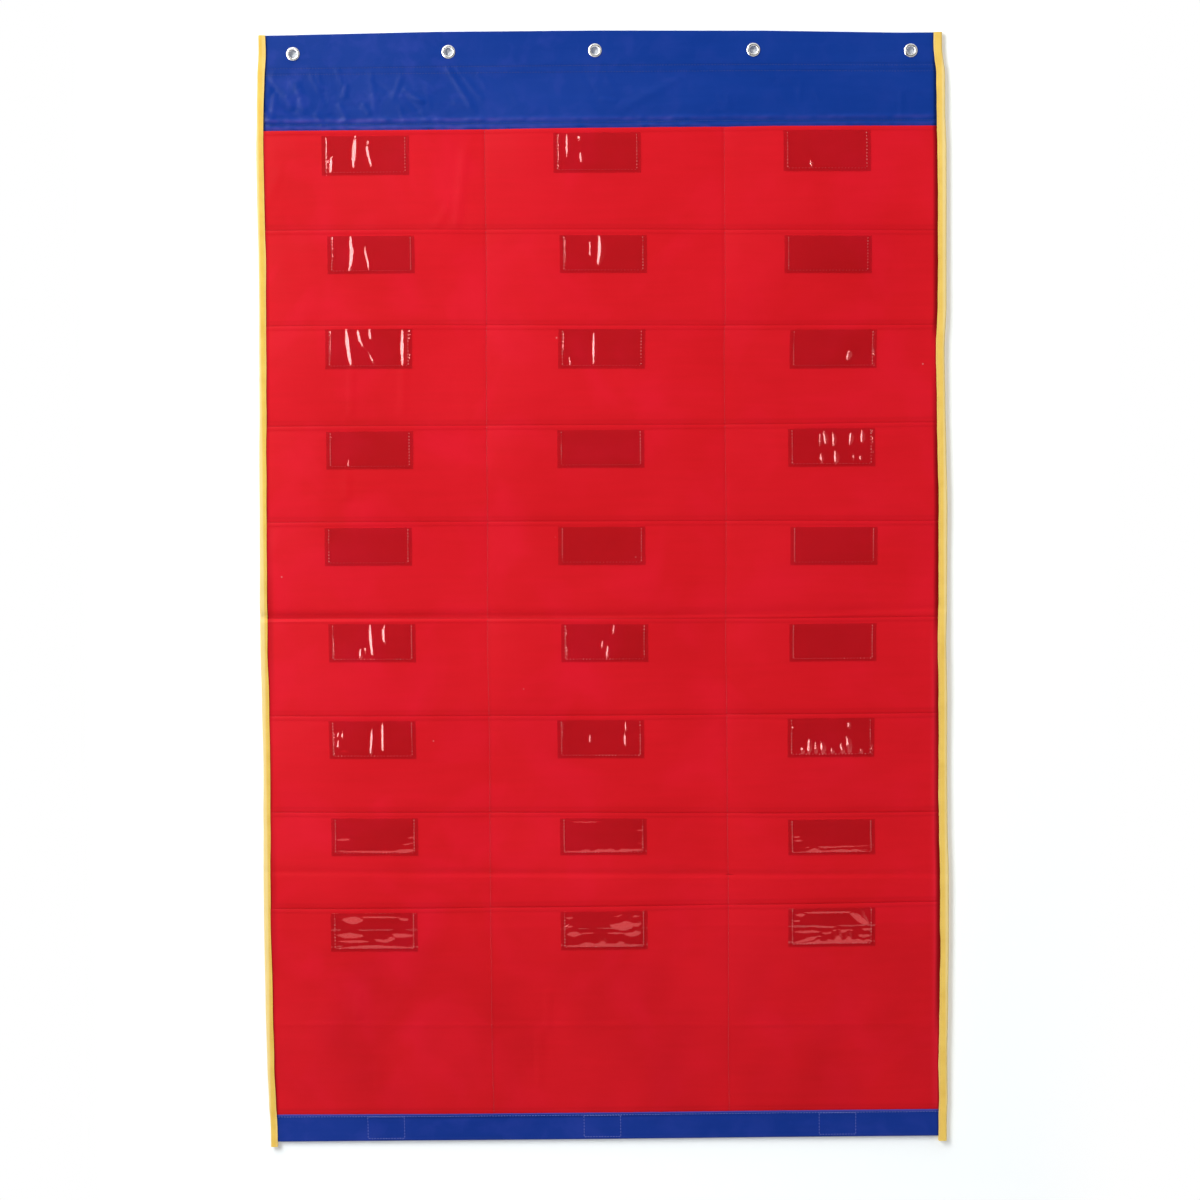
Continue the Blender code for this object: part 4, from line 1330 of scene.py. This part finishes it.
def window_film(row, column, u, v):
    """Height of the film over its strip: nothing at the three seams, a very slight swell inside, and the
    ridges, of which the highest wins where two meet. The second array is 1 where a level ridge's flank is
    on top.

    A ridge needs the cloth's shape only along its own foot and crest, so on a mesh it is worked out for one
    column of points (an upright ridge) or one row of them (a level ridge)."""
    x0, z0 = window_origin(row, column)
    swell_waves = wave_set(100 + 10 * row + column, 8, 0.022, 0.06)

    def cloth(u, v):
        return strip_front(row - 1, x0 + u, z0 + v - SEAMS[row - 1]) + relief(x0 + u, z0 + v)

    def base(u, v):
        from_side = np.minimum(u, WINDOW_WIDTH - u) - SIDE_SEAM
        deep = smooth(from_side, 0, 0.008) * smooth(v - FOOT_SEAM, 0, 0.007)
        return cloth(u, v) + 0.00010 * (1 + waves(u, v, swell_waves)) * deep

    from_side = np.abs(np.minimum(u, WINDOW_WIDTH - u) - SIDE_SEAM)
    stitch = 0.00006 * (1 + np.cos(v * math.tau / STITCH_PITCH)) * bell(from_side, 0.0008, 0.0006)
    free = smooth(from_side, 0.0001, 0.0034) * smooth(np.abs(v - FOOT_SEAM), 0.0001, 0.0034)
    here = base(u, v)
    up, along = (v[:, :1], u[:1]) if np.ndim(u) == 2 else (v, u)
    lift, tipped = np.zeros_like(u), np.zeros_like(u)
    upright = UPRIGHT.get((row, column), []) + puckers(row, column, -1) + puckers(row, column, 1)
    for width, *points in upright:
        middle, taper = path_share(up / WINDOW_HEIGHT, points, -1)
        wide = 0.001 * width * taper
        start = middle * WINDOW_WIDTH - wide / 2
        slope = lit_slope(x0 + start, z0 + up)
        lift = np.maximum(lift, flank(u, here, lambda at: base(at, up), start, wide, slope, 1.8))
    for number, (height, ragged, *points) in enumerate(LEVEL_RIDGES.get((row, column), [])):
        middle, taper = path_share(along / WINDOW_WIDTH, points, 1, 0.8)
        notches = wave_set(500 + 20 * row + 7 * column + number, 6, 0.009, 0.020)
        uneven = np.clip(0.5 + 0.7 * waves(along, along * 0, notches), 0, 1)
        length = WINDOW_WIDTH * (points[-1][0] - points[0][0])
        height = min(0.001 * height, RIDGE_HEIGHT_SHARE * length)
        tall = height * taper * (1 - ragged * uneven)
        start = np.maximum(middle * WINDOW_HEIGHT - 0.5 * height * taper, FOOT_SEAM)
        ridge = flank(v, here, lambda at: base(along, at), start, tall, TIPPED, 1.0)
        on_flank = (ridge > 0) & (v <= start + tall + 0.0003)
        tipped = np.where(ridge > lift, on_flank, tipped)
        lift = np.maximum(lift, ridge)
    return here - cloth(u, v) + 0.00024 * free + stitch + lift, tipped


# %% Windows
# how far each window was sewn off its even place, in mm: (right, up) for the left, middle and right column
WINDOW_SHIFTS = np.array([
    [(-0.9, 0.2), (-4.5, 1.2), (-5.2, 1.8)],
    [(3.2, -0.5), (0.8, 0.0), (-4.6, 0.0)],
    [(0.4, 2.2), (-0.4, 2.0), (1.8, 1.2)],
    [(1.2, 0.3), (-2.1, 0.8), (-1.1, 0.9)],
    [(-0.7, 0.0), (-1.9, 0.3), (0.4, -0.3)],
    [(2.8, 0.6), (1.3, 0.5), (-0.1, -0.1)],
    [(0.9, 1.0), (-4.4, 1.3), (-3.3, 1.8)],
    [(2.6, 0.2), (-2.3, 0.1), (-3.1, -1.2)],
    [(1.3, 1.5), (-2.5, 1.2), (-4.0, 1.4)],
])


def window_origin(row, column):
    """Lower left corner of a window in the flat layout."""
    right_by, up_by = 0.001 * WINDOW_SHIFTS[row - 1, column - 1]
    left = WINDOW_SHARES[column - 1] * CHART_WIDTH - WINDOW_WIDTH / 2
    return left + right_by, MOUTHS[row - 1] - WINDOW_DROP - WINDOW_HEIGHT + up_by


def window_front(row, column, x, z):
    """Depth of the vinyl's front face, and where it is a tipped flank."""
    x0, z0 = window_origin(row, column)
    cloth = strip_front(row - 1, x, z - SEAMS[row - 1])
    film, tipped = window_film(row, column, x - x0, z - z0)
    return cloth + GAP + VINYL + film, tipped


def window_lines(row, column):
    """Grid lines across and up: close across the upright ridges, or close up the level ones, and wide apart
    on a plain window. There are always some beside the seams."""
    step_u, step_v = (0.0005, 0.0013) if (row, column) in UPRIGHT else (0.0018, 0.0018)
    if row >= 8:
        step_u, step_v = 0.0012, 0.0005
    near = around([SIDE_SEAM], (-0.0012, -0.0006, 0, 0.0005, 0.0010, 0.0015))
    u_lines = lines(0, WINDOW_WIDTH, step_u, near + [WINDOW_WIDTH - place for place in near])
    return u_lines, lines(0, WINDOW_HEIGHT, step_v, around([FOOT_SEAM], (-0.0007, 0, 0.0007)))


windows = {}
for row in range(1, ROWS + 1):
    for column, column_name in enumerate(COLUMN_NAMES, start=1):
        x0, z0 = window_origin(row, column)
        u, v = np.meshgrid(*window_lines(row, column))
        x, z = x0 + u, z0 + v
        depth, tipped = window_front(row, column, x, z)
        front, rear = place(x, z, depth), place(x, z, depth - VINYL)
        piece = shell(f"window_{row}_{column_name}", front, rear, CLEAR, "clear_vinyl", smooth_below=8)
        store(piece, "tipped_film", lambda x, y, z: np.tile(tipped.ravel(), 2))
        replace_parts(piece, f"card_window_{row}_{column_name}")
        windows[row, column] = piece
print(len(windows), "windows,", sum(len(w.data.polygons) for w in windows.values()), "faces in all")

# %% [markdown]
# ## Stitching
#
# Thousands of stitches are real threads here, because a row of small bright and dark dots is what makes a
# seam look sewn. One stitch is a short five-sided capsule whose ends dive into the cloth. A whole row is
# made at once: the stitch's points are written in its own directions (along, across, up), and those
# directions are worked out for every stitch of the row as arrays.

# %% Stitch helper
STITCH, THREAD = 0.0024, 0.00019


def stitch_template(length, radius):
    """Points as (along, across, up) and faces of one stitch: four rings of five points, low at both ends."""
    turn = np.arange(5) * math.tau / 5 + 0.3
    along = np.array([-0.5, -0.28, 0.28, 0.5]) * length
    thick = np.array([0.45, 1.0, 1.0, 0.45]) * radius
    lift = np.array([-1.2, 0.6, 0.6, -1.2]) * radius
    rings = np.stack([
        np.broadcast_to(along[:, None], (4, 5)),
        thick[:, None] * np.cos(turn),
        lift[:, None] + thick[:, None] * np.sin(turn),
    ], axis=-1).reshape(-1, 3)
    index = np.arange(20).reshape(4, 5)
    around = np.roll(index, -1, axis=1)
    sides = np.stack([index[:-1], around[:-1], around[1:], index[1:]], -1).reshape(-1, 4)
    return rings, sides, np.stack([index[0][::-1], index[-1]])


def walk(corners, pitch):
    """Middles and directions of the stitches along a line through corners, each side on its own even
    pitch."""
    middles, directions = [], []
    for start, end in zip(corners[:-1], corners[1:]):
        start, end = np.array(start), np.array(end)
        length = np.linalg.norm(end - start)
        count = max(int(round(length / pitch)), 1)
        share = (np.arange(count) + 0.5) / count
        middles.append(start + share[:, None] * (end - start))
        directions.append(np.broadcast_to((end - start) / length, (count, 2)))
    return np.concatenate(middles), np.concatenate(directions)


def sew(name, runs, depth_at, finish, slot, pitch=0.0030, length=STITCH, radius=THREAD, face=1.0):
    """Stitches along several runs of (x, z) corners, on the surface whose depth is depth_at(x, z). face is
    1 on the front of the chart and -1 on its back."""
    rings, sides, caps = stitch_template(length, radius)
    found = [walk(run, pitch) for run in runs]
    middle = np.concatenate([m for m, _ in found])
    way = np.concatenate([d for _, d in found])
    rng = np.random.default_rng(len(middle))
    middle = middle + way * rng.uniform(-0.00015, 0.00015, (len(way), 1))
    ends = [middle + way * s * length / 2 for s in (-1, 1)]
    a, b = (place(e[:, 0], e[:, 1], depth_at(e[:, 0], e[:, 1])) for e in ends)
    centre = place(middle[:, 0], middle[:, 1], depth_at(middle[:, 0], middle[:, 1]))
    along = b - a
    along /= np.linalg.norm(along, axis=1)[:, None]
    up = np.broadcast_to([0.0, -face, 0.0], along.shape)
    up = up - (up * along).sum(axis=1)[:, None] * along
    up /= np.linalg.norm(up, axis=1)[:, None]
    across = np.cross(up, along)
    points = (
        centre[:, None]
        + rings[None, :, 0, None] * along[:, None]
        + rings[None, :, 1, None] * across[:, None]
        + rings[None, :, 2, None] * up[:, None]
    )
    step = len(rings) * np.arange(len(middle))[:, None, None]
    faces = [(part[None] + step).reshape(-1, part.shape[1]) for part in (sides, caps)]
    return new_piece(name, points.reshape(-1, 3), faces, finish, slot, 60)


def thread_finish(name, colour, roughness=0.5, other=None, patches=(0.38, 0.50)):
    """Twisted thread: fine slanting bands of light and dark. other is a second colour, which takes over in
    patches a few stitches long; patches are the two noise levels between which one gives way to the
    other."""
    made, tree, place = new_material(name)
    x, _, z = separate(tree, place)
    twist = to_share(tree, ripple(tree, math_node(tree, "ADD", x, z), 0.0003))
    tint = blend(tree, twist, tuple(0.7 * part for part in colour), colour)
    if other:
        patchy = remap(tree, noise(tree, place, 110.0, 2.0), *patches)
        tint = blend(tree, patchy, other, tint)
    shader = principled(tree, tint, roughness, bump(tree, twist, 0.00004, 0.5), {"Sheen Weight": 0.1})
    return with_surface(made, shader)


CLOTH_RED = (0.60, 0.014, 0.026)
RED_THREAD = thread_finish("red_thread", (0.62, 0.012, 0.025))
BLUE_THREAD = thread_finish("blue_thread", (0.008, 0.035, 0.24))
# painted glints: the pale blue, pink and sparse pink threads stand in for light caught at the stitches
BLUE_GLINT_THREAD = thread_finish("blue_glint_thread", (0.13, 0.17, 0.60), 0.35)
PINK_GLINT_THREAD = thread_finish("pink_glint_thread", (1.0, 0.46, 0.44), 0.3, CLOTH_RED)
SPARSE_GLINT_THREAD = thread_finish("sparse_glint_thread", (1.0, 0.30, 0.30), 0.3, CLOTH_RED, (0.52, 0.60))
YELLOW_THREAD = thread_finish("yellow_thread", (0.95, 0.66, 0.18))
STITCH_FACES = len(stitch_template(STITCH, THREAD)[1]) + 2
print("one stitch has", STITCH_FACES, "faces")


# %% [markdown]
# ## Where each seam runs
#
# Every seam is a line in the flat layout together with the surface it lies on. On the front that surface is
# whichever layer lies on top: the header, then the strips one after another, then the foot band.


# %% Front seams
def strip_on_top(z):
    """The number (from 0) of the strip that shows at height z."""
    return np.clip(np.ceil((MOUTHS[0] - z) / ROW_PITCH).astype(int) - 1, 0, ROWS - 1)


def front_depth(x, z):
    """Depth of the strip that shows at (x, z)."""
    x, z = np.asarray(x, float), np.asarray(z, float)
    shown = strip_on_top(z)
    depth = np.zeros_like(x)
    for row in range(ROWS):
        mine = shown == row
        depth[mine] = strip_front(row, x[mine], z[mine] - SEAMS[row])
    return depth


def flat_at(depth):
    """A surface that lies at one depth."""
    return lambda x, z: np.full_like(x, depth)


seams = []
divider_runs = []
for at in DIVIDERS:
    for row in range(ROWS):
        foot = MOUTHS[row + 1] + 0.0006 if row + 1 < ROWS else BAND_TOP + 0.001
        divider_runs.append([(at, MOUTHS[row] - 0.0012), (at, foot)])
seams.append(
    sew("stitches_dividers", divider_runs, lambda x, z: front_depth(x, z) - 0.0001, RED_THREAD, "red_nylon")
)
WINDOW_STITCH = dict(pitch=STITCH_PITCH, length=0.0011, radius=0.00035)
# rows below this one get the sparse painted glints on their foot seams
LAST_PLAIN_FOOT = 5
for row in range(1, ROWS + 1):
    upright_runs, foot_runs = [], []
    for column in (1, 2, 3):
        x0, z0 = window_origin(row, column)
        left_x, right_x = x0 + SIDE_SEAM, x0 + WINDOW_WIDTH - SIDE_SEAM
        foot, top = z0 + FOOT_SEAM, z0 + WINDOW_HEIGHT - 0.0008
        upright_runs += [[(left_x, top), (left_x, foot)], [(right_x, foot), (right_x, top)]]
        foot_runs.append([(left_x, foot), (right_x, foot)])

    def over_vinyl(x, z, row=row):
        depth = np.zeros_like(x)
        for column in (1, 2, 3):
            x0, _ = window_origin(row, column)
            mine = (x > x0 - 0.005) & (x < x0 + WINDOW_WIDTH + 0.005)
            depth[mine] = window_front(row, column, x[mine], z[mine])[0]
        return depth

    foot_thread = RED_THREAD if row <= LAST_PLAIN_FOOT else SPARSE_GLINT_THREAD
    for part, runs, thread in (("sides", upright_runs, PINK_GLINT_THREAD), ("feet", foot_runs, foot_thread)):
        name = f"stitches_window_{part}_{row}"
        seams.append(sew(name, runs, over_vinyl, thread, "red_nylon", **WINDOW_STITCH))

header_runs = [[(-BAY_HALF, height), (BAY_HALF, height)] for height in HEM_LINES]
header_foot_run = [(-BAY_HALF, HEADER_SEAM_Z), (BAY_HALF, HEADER_SEAM_Z)]
band_top_run = [(-BAY_HALF, BAND_SEAM_Z), (BAY_HALF, BAND_SEAM_Z)]
patch_z = (BAND_TOP + BAND_BOTTOM) / 2
patch_runs = []
for centre in np.array(PATCH_SHARES) * CHART_WIDTH:
    half_w, half_h = PATCH_WIDTH / 2 - 0.0008, PATCH_HEIGHT / 2 - 0.0004
    turns = ((-1, 1), (-1, -1), (1, -1), (1, 1), (-1, 1))
    patch_runs.append([(centre + half_w * right, patch_z + half_h * up) for right, up in turns])
band_front = band_front_mid + CLOTH / 2
seams += [
    sew("stitches_header_hem", header_runs, flat_at(HEADER_FRONT), BLUE_THREAD, "blue_nylon"),
    sew(
        "stitches_header_foot", [header_foot_run], lambda x, z: HEADER_FRONT + header_lips(x, z),
        BLUE_THREAD, "blue_nylon",
    ),
    sew(
        "stitches_foot_band", [band_top_run, *patch_runs], lambda x, z: band_front + band_swell(x, z),
        BLUE_GLINT_THREAD, "navy_nylon", radius=0.00027,
    ),
]


def sew_tape(name, at, depth, face):
    """A row of stitches down a tape, at a distance from the chart's middle."""
    run = [(at, TAPE_LOW + 0.003), (at, TOP_Z - 0.002)]
    return sew(name, [run], flat_at(depth), YELLOW_THREAD, "yellow_binding", face=face)


for side, name, width in ((-1, "left", LEFT_TAPE), (1, "right", RIGHT_TAPE)):
    at = side * (CHART_WIDTH / 2 - width + 0.0016)
    seams.append(sew_tape(f"stitches_tape_{name}", at, TAPE_FRONT + TAPE / 2 + 0.0001, 1.0))
print(len(seams), "front seams,", sum(len(s.data.polygons) for s in seams) // STITCH_FACES, "stitches")

# %% [markdown]
# ## Seams on the back
#
# The same seams come out behind. A row of stitches crosses the back at the foot of every strip but the
# last, which ends in the foot band. Two rows run down the dividers, and the header's foot and hem, the
# foot band's top and the tapes have theirs.

# %% Back seams
back_runs = [[(-BAY_HALF, seam + 0.002), (BAY_HALF, seam + 0.002)] for seam in SEAMS[:-1]]
back_runs += [[(at, MOUTHS[0] + 0.008), (at, BAND_TOP + 0.001)] for at in DIVIDERS]
back_runs += [header_foot_run]
for part, runs, depth, thread, slot in (
    ("panel", back_runs, BACKING_BACK, RED_THREAD, "red_nylon"),
    ("header", header_runs, BACKING_BACK, BLUE_THREAD, "blue_nylon"),
    ("band", [band_top_run], BAND_BACK, BLUE_THREAD, "navy_nylon"),
):
    seams.append(sew(f"stitches_back_{part}", runs, flat_at(depth), thread, slot, face=-1))
for side, name in ((-1, "left"), (1, "right")):
    at = side * (CHART_WIDTH / 2 - 0.0064)
    seams.append(sew_tape(f"stitches_back_tape_{name}", at, TAPE_BACK - TAPE / 2, -1.0))
print(len(seams), "seams in all")

# %% [markdown]
# ## Grommets
#
# A grommet is two pressed pieces of nickel-plated brass: an eyelet, whose domed flange shows in front, and a
# washer behind. The eyelet's barrel passes through the cloth and is curled over the washer. Both are turned
# shapes, so each is a closed cross-section of (radius, depth) points, swept round the hole's axis.

# %% Nickel
ROUND = 48


def nickel_finish():
    """Bright plated metal with a few dull spots."""
    made, tree, place = new_material("nickel_plate")
    cloud = noise(tree, place, 350.0, 4.0)
    rough = remap(tree, cloud, 0.3, 0.75, 0.22, 0.40)
    tint = blend(tree, cloud, (0.80, 0.78, 0.74), (0.93, 0.92, 0.90))
    shader = principled(tree, tint, rough, bump(tree, cloud, 0.00004, 0.25), {"Metallic": 1.0})
    return with_surface(made, shader)


NICKEL = nickel_finish()


def arc_points(centre, radii, start, end, count):
    """Points of an ellipse's arc as (radius, depth), with its angles in degrees."""
    turn = np.radians(np.linspace(start, end, count))
    return np.stack([centre[0] + radii[0] * np.cos(turn), centre[1] + radii[1] * np.sin(turn)], axis=1)


def turned(name, section, centre_x):
    """A nickel piece: a closed cross-section swept round the line x = centre_x, z = 0, moved by the drift
    there."""
    keep = np.linalg.norm(section - np.roll(section, 1, axis=0), axis=1) > 1e-6
    radius, depth = section[keep].T
    turn = (np.arange(ROUND) * math.tau / ROUND)[:, None]
    dx, dz = drift(np.float64(centre_x), np.float64(0.0))
    points = np.stack([
        centre_x + dx + radius * np.cos(turn),
        np.broadcast_to(-depth, (ROUND, len(depth))),
        dz + radius * np.sin(turn),
    ], axis=-1)
    index = np.arange(ROUND * len(depth)).reshape(ROUND, -1)
    next_turn, next_point = np.roll(index, -1, axis=0), np.roll(index, -1, axis=1)
    faces = np.stack([index, next_point, np.roll(next_turn, -1, axis=1), next_turn], -1).reshape(-1, 4)
    if (radius * np.roll(depth, -1) - np.roll(radius, -1) * depth).sum() > 0:
        faces = faces[:, ::-1]
    return new_piece(name, points.reshape(-1, 3), faces, NICKEL, "nickel", 50)


HOLE, BARREL, FLANGE, CREST = 0.004, 0.0044, 0.007, 0.0054
WASHER, LIP = 0.0006, 0.0005
SEAT = HEADER_FRONT + GAP
WASHER_FRONT = BACKING_BACK - GAP
WASHER_BACK = WASHER_FRONT - WASHER
LIP_FRONT = WASHER_BACK - GAP
LIP_BACK = LIP_FRONT - LIP
eyelet = np.concatenate([
    arc_points((FLANGE - 0.00045, SEAT + 0.00045), (0.00045, 0.00045), -70, 60, 6),
    arc_points((CREST, SEAT + 0.00045), (FLANGE - CREST - 0.0002, 0.00075), 50, 90, 6),
    arc_points((CREST, SEAT + 0.00025), (CREST - HOLE, 0.00095), 90, 180, 9),
    [(HOLE, SEAT - 0.0008), (HOLE, WASHER_FRONT), (HOLE, LIP_BACK + 0.0006)],
    arc_points((HOLE + 0.0008, LIP_BACK + 0.00028), (0.0008, 0.00028), 180, 270, 5),
    arc_points((HOLE + 0.0012, LIP_BACK + 0.00025), (0.0004, 0.00025), 270, 360, 5),
    [(HOLE + 0.0016, LIP_FRONT), (BARREL, LIP_FRONT), (BARREL, SEAT), (CREST, SEAT)],
])
washer = np.concatenate([
    [(BARREL + GAP, WASHER_FRONT), (BARREL + GAP, WASHER_BACK)],
    arc_points((FLANGE - 0.0006, WASHER_BACK + 0.0003), (0.0006, 0.0003), -90, 0, 5),
    [(FLANGE, WASHER_FRONT)],
])
for number, x in enumerate(grommet_x, start=1):
    for kind, section in (("eyelet", eyelet), ("washer", washer)):
        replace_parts(turned(f"{kind}_{number}", section, x), f"grommet_{kind}_{number}")
print("eyelet section has", len(eyelet), "points")

# %% [markdown]
# ## Hook-and-loop patches
#
# Three patches on the back of the foot band let the foot of the chart be closed up or fixed. Each is a woven
# tape with rounded corners and a field of tiny stiff hooks.


# %% Patches
OUTLINE_POINTS = 64
OUTLINE_POWER = 0.28


def patch_finish():
    """Dark woven tape with a fuzzy, speckled face."""
    made, tree, place = new_material("hook_tape")
    hooks = add_node(tree, "ShaderNodeTexVoronoi", sockets={"Vector": place, "Scale": 900.0})
    speck = hooks.outputs["Distance"]
    cloud = noise(tree, place, 120.0, 4.0)
    tone = math_node(tree, "MULTIPLY", math_node(tree, "ADD", speck, 0.3), cloud)
    tint = blend(tree, tone, (0.012, 0.02, 0.085), (0.05, 0.075, 0.24))
    shader = principled(tree, tint, 0.85, bump(tree, speck, 0.0003, 0.8), {"Sheen Weight": 0.3})
    return with_surface(made, shader)


PATCH = patch_finish()


def rounded(wave):
    """A cosine or sine turned into the side of a rounded rectangle: sign * |wave|^0.28."""
    return np.sign(wave) * np.abs(wave) ** OUTLINE_POWER


def patch_slab(number, centre_x):
    """A slab whose outline is a rounded rectangle and whose edge is rolled: rings of the outline, drawn in
    and moved back, from the face that touches the band to the middle of the back face."""
    turn = np.arange(OUTLINE_POINTS) * math.tau / OUTLINE_POINTS
    inset = np.array([0.004, 0.0002, 0.0, 0.0001, 0.0006, 0.002, 0.006, 0.0105])[:, None]
    depth = np.array([PATCH_DEPTH, PATCH_DEPTH, 0.0012, 0.0004, 0.00005, 0.0, 0.0, 0.0])[:, None]
    index = np.arange(len(inset) * OUTLINE_POINTS).reshape(len(inset), OUTLINE_POINTS)
    rings = np.stack([
        centre_x + (PATCH_WIDTH / 2 - inset) * rounded(np.cos(turn)),
        np.broadcast_to(-depth, index.shape),
        patch_z + (PATCH_HEIGHT / 2 - inset) * rounded(np.sin(turn)),
    ], axis=-1)
    following = np.roll(index, -1, axis=1)
    sides = np.stack([index[:-1], following[:-1], following[1:], index[1:]], -1).reshape(-1, 4)[:, ::-1]
    caps = np.stack([index[0], index[-1][::-1]])
    made = new_piece(f"hook_patch_{number}", rings.reshape(-1, 3), [sides, caps], PATCH, "hook_and_loop", 50)
    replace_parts(made, f"hook_loop_patch_{number}")
    return made


patches = [patch_slab(n, share * CHART_WIDTH) for n, share in enumerate(PATCH_SHARES, start=1)]
print(len(patches), "patches")

# %% [markdown]
#
# The right tape is made wider in front than the eight millimetres of the layout.

# %% An empty loop over the windows
for (row, column), piece in windows.items():
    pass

# %% Finish
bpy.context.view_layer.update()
shown = [thing for thing in bpy.data.objects if thing.type == "MESH" and not thing.hide_render]
print("triangles:", sum(len(face.vertices) - 2 for thing in shown for face in thing.data.polygons))
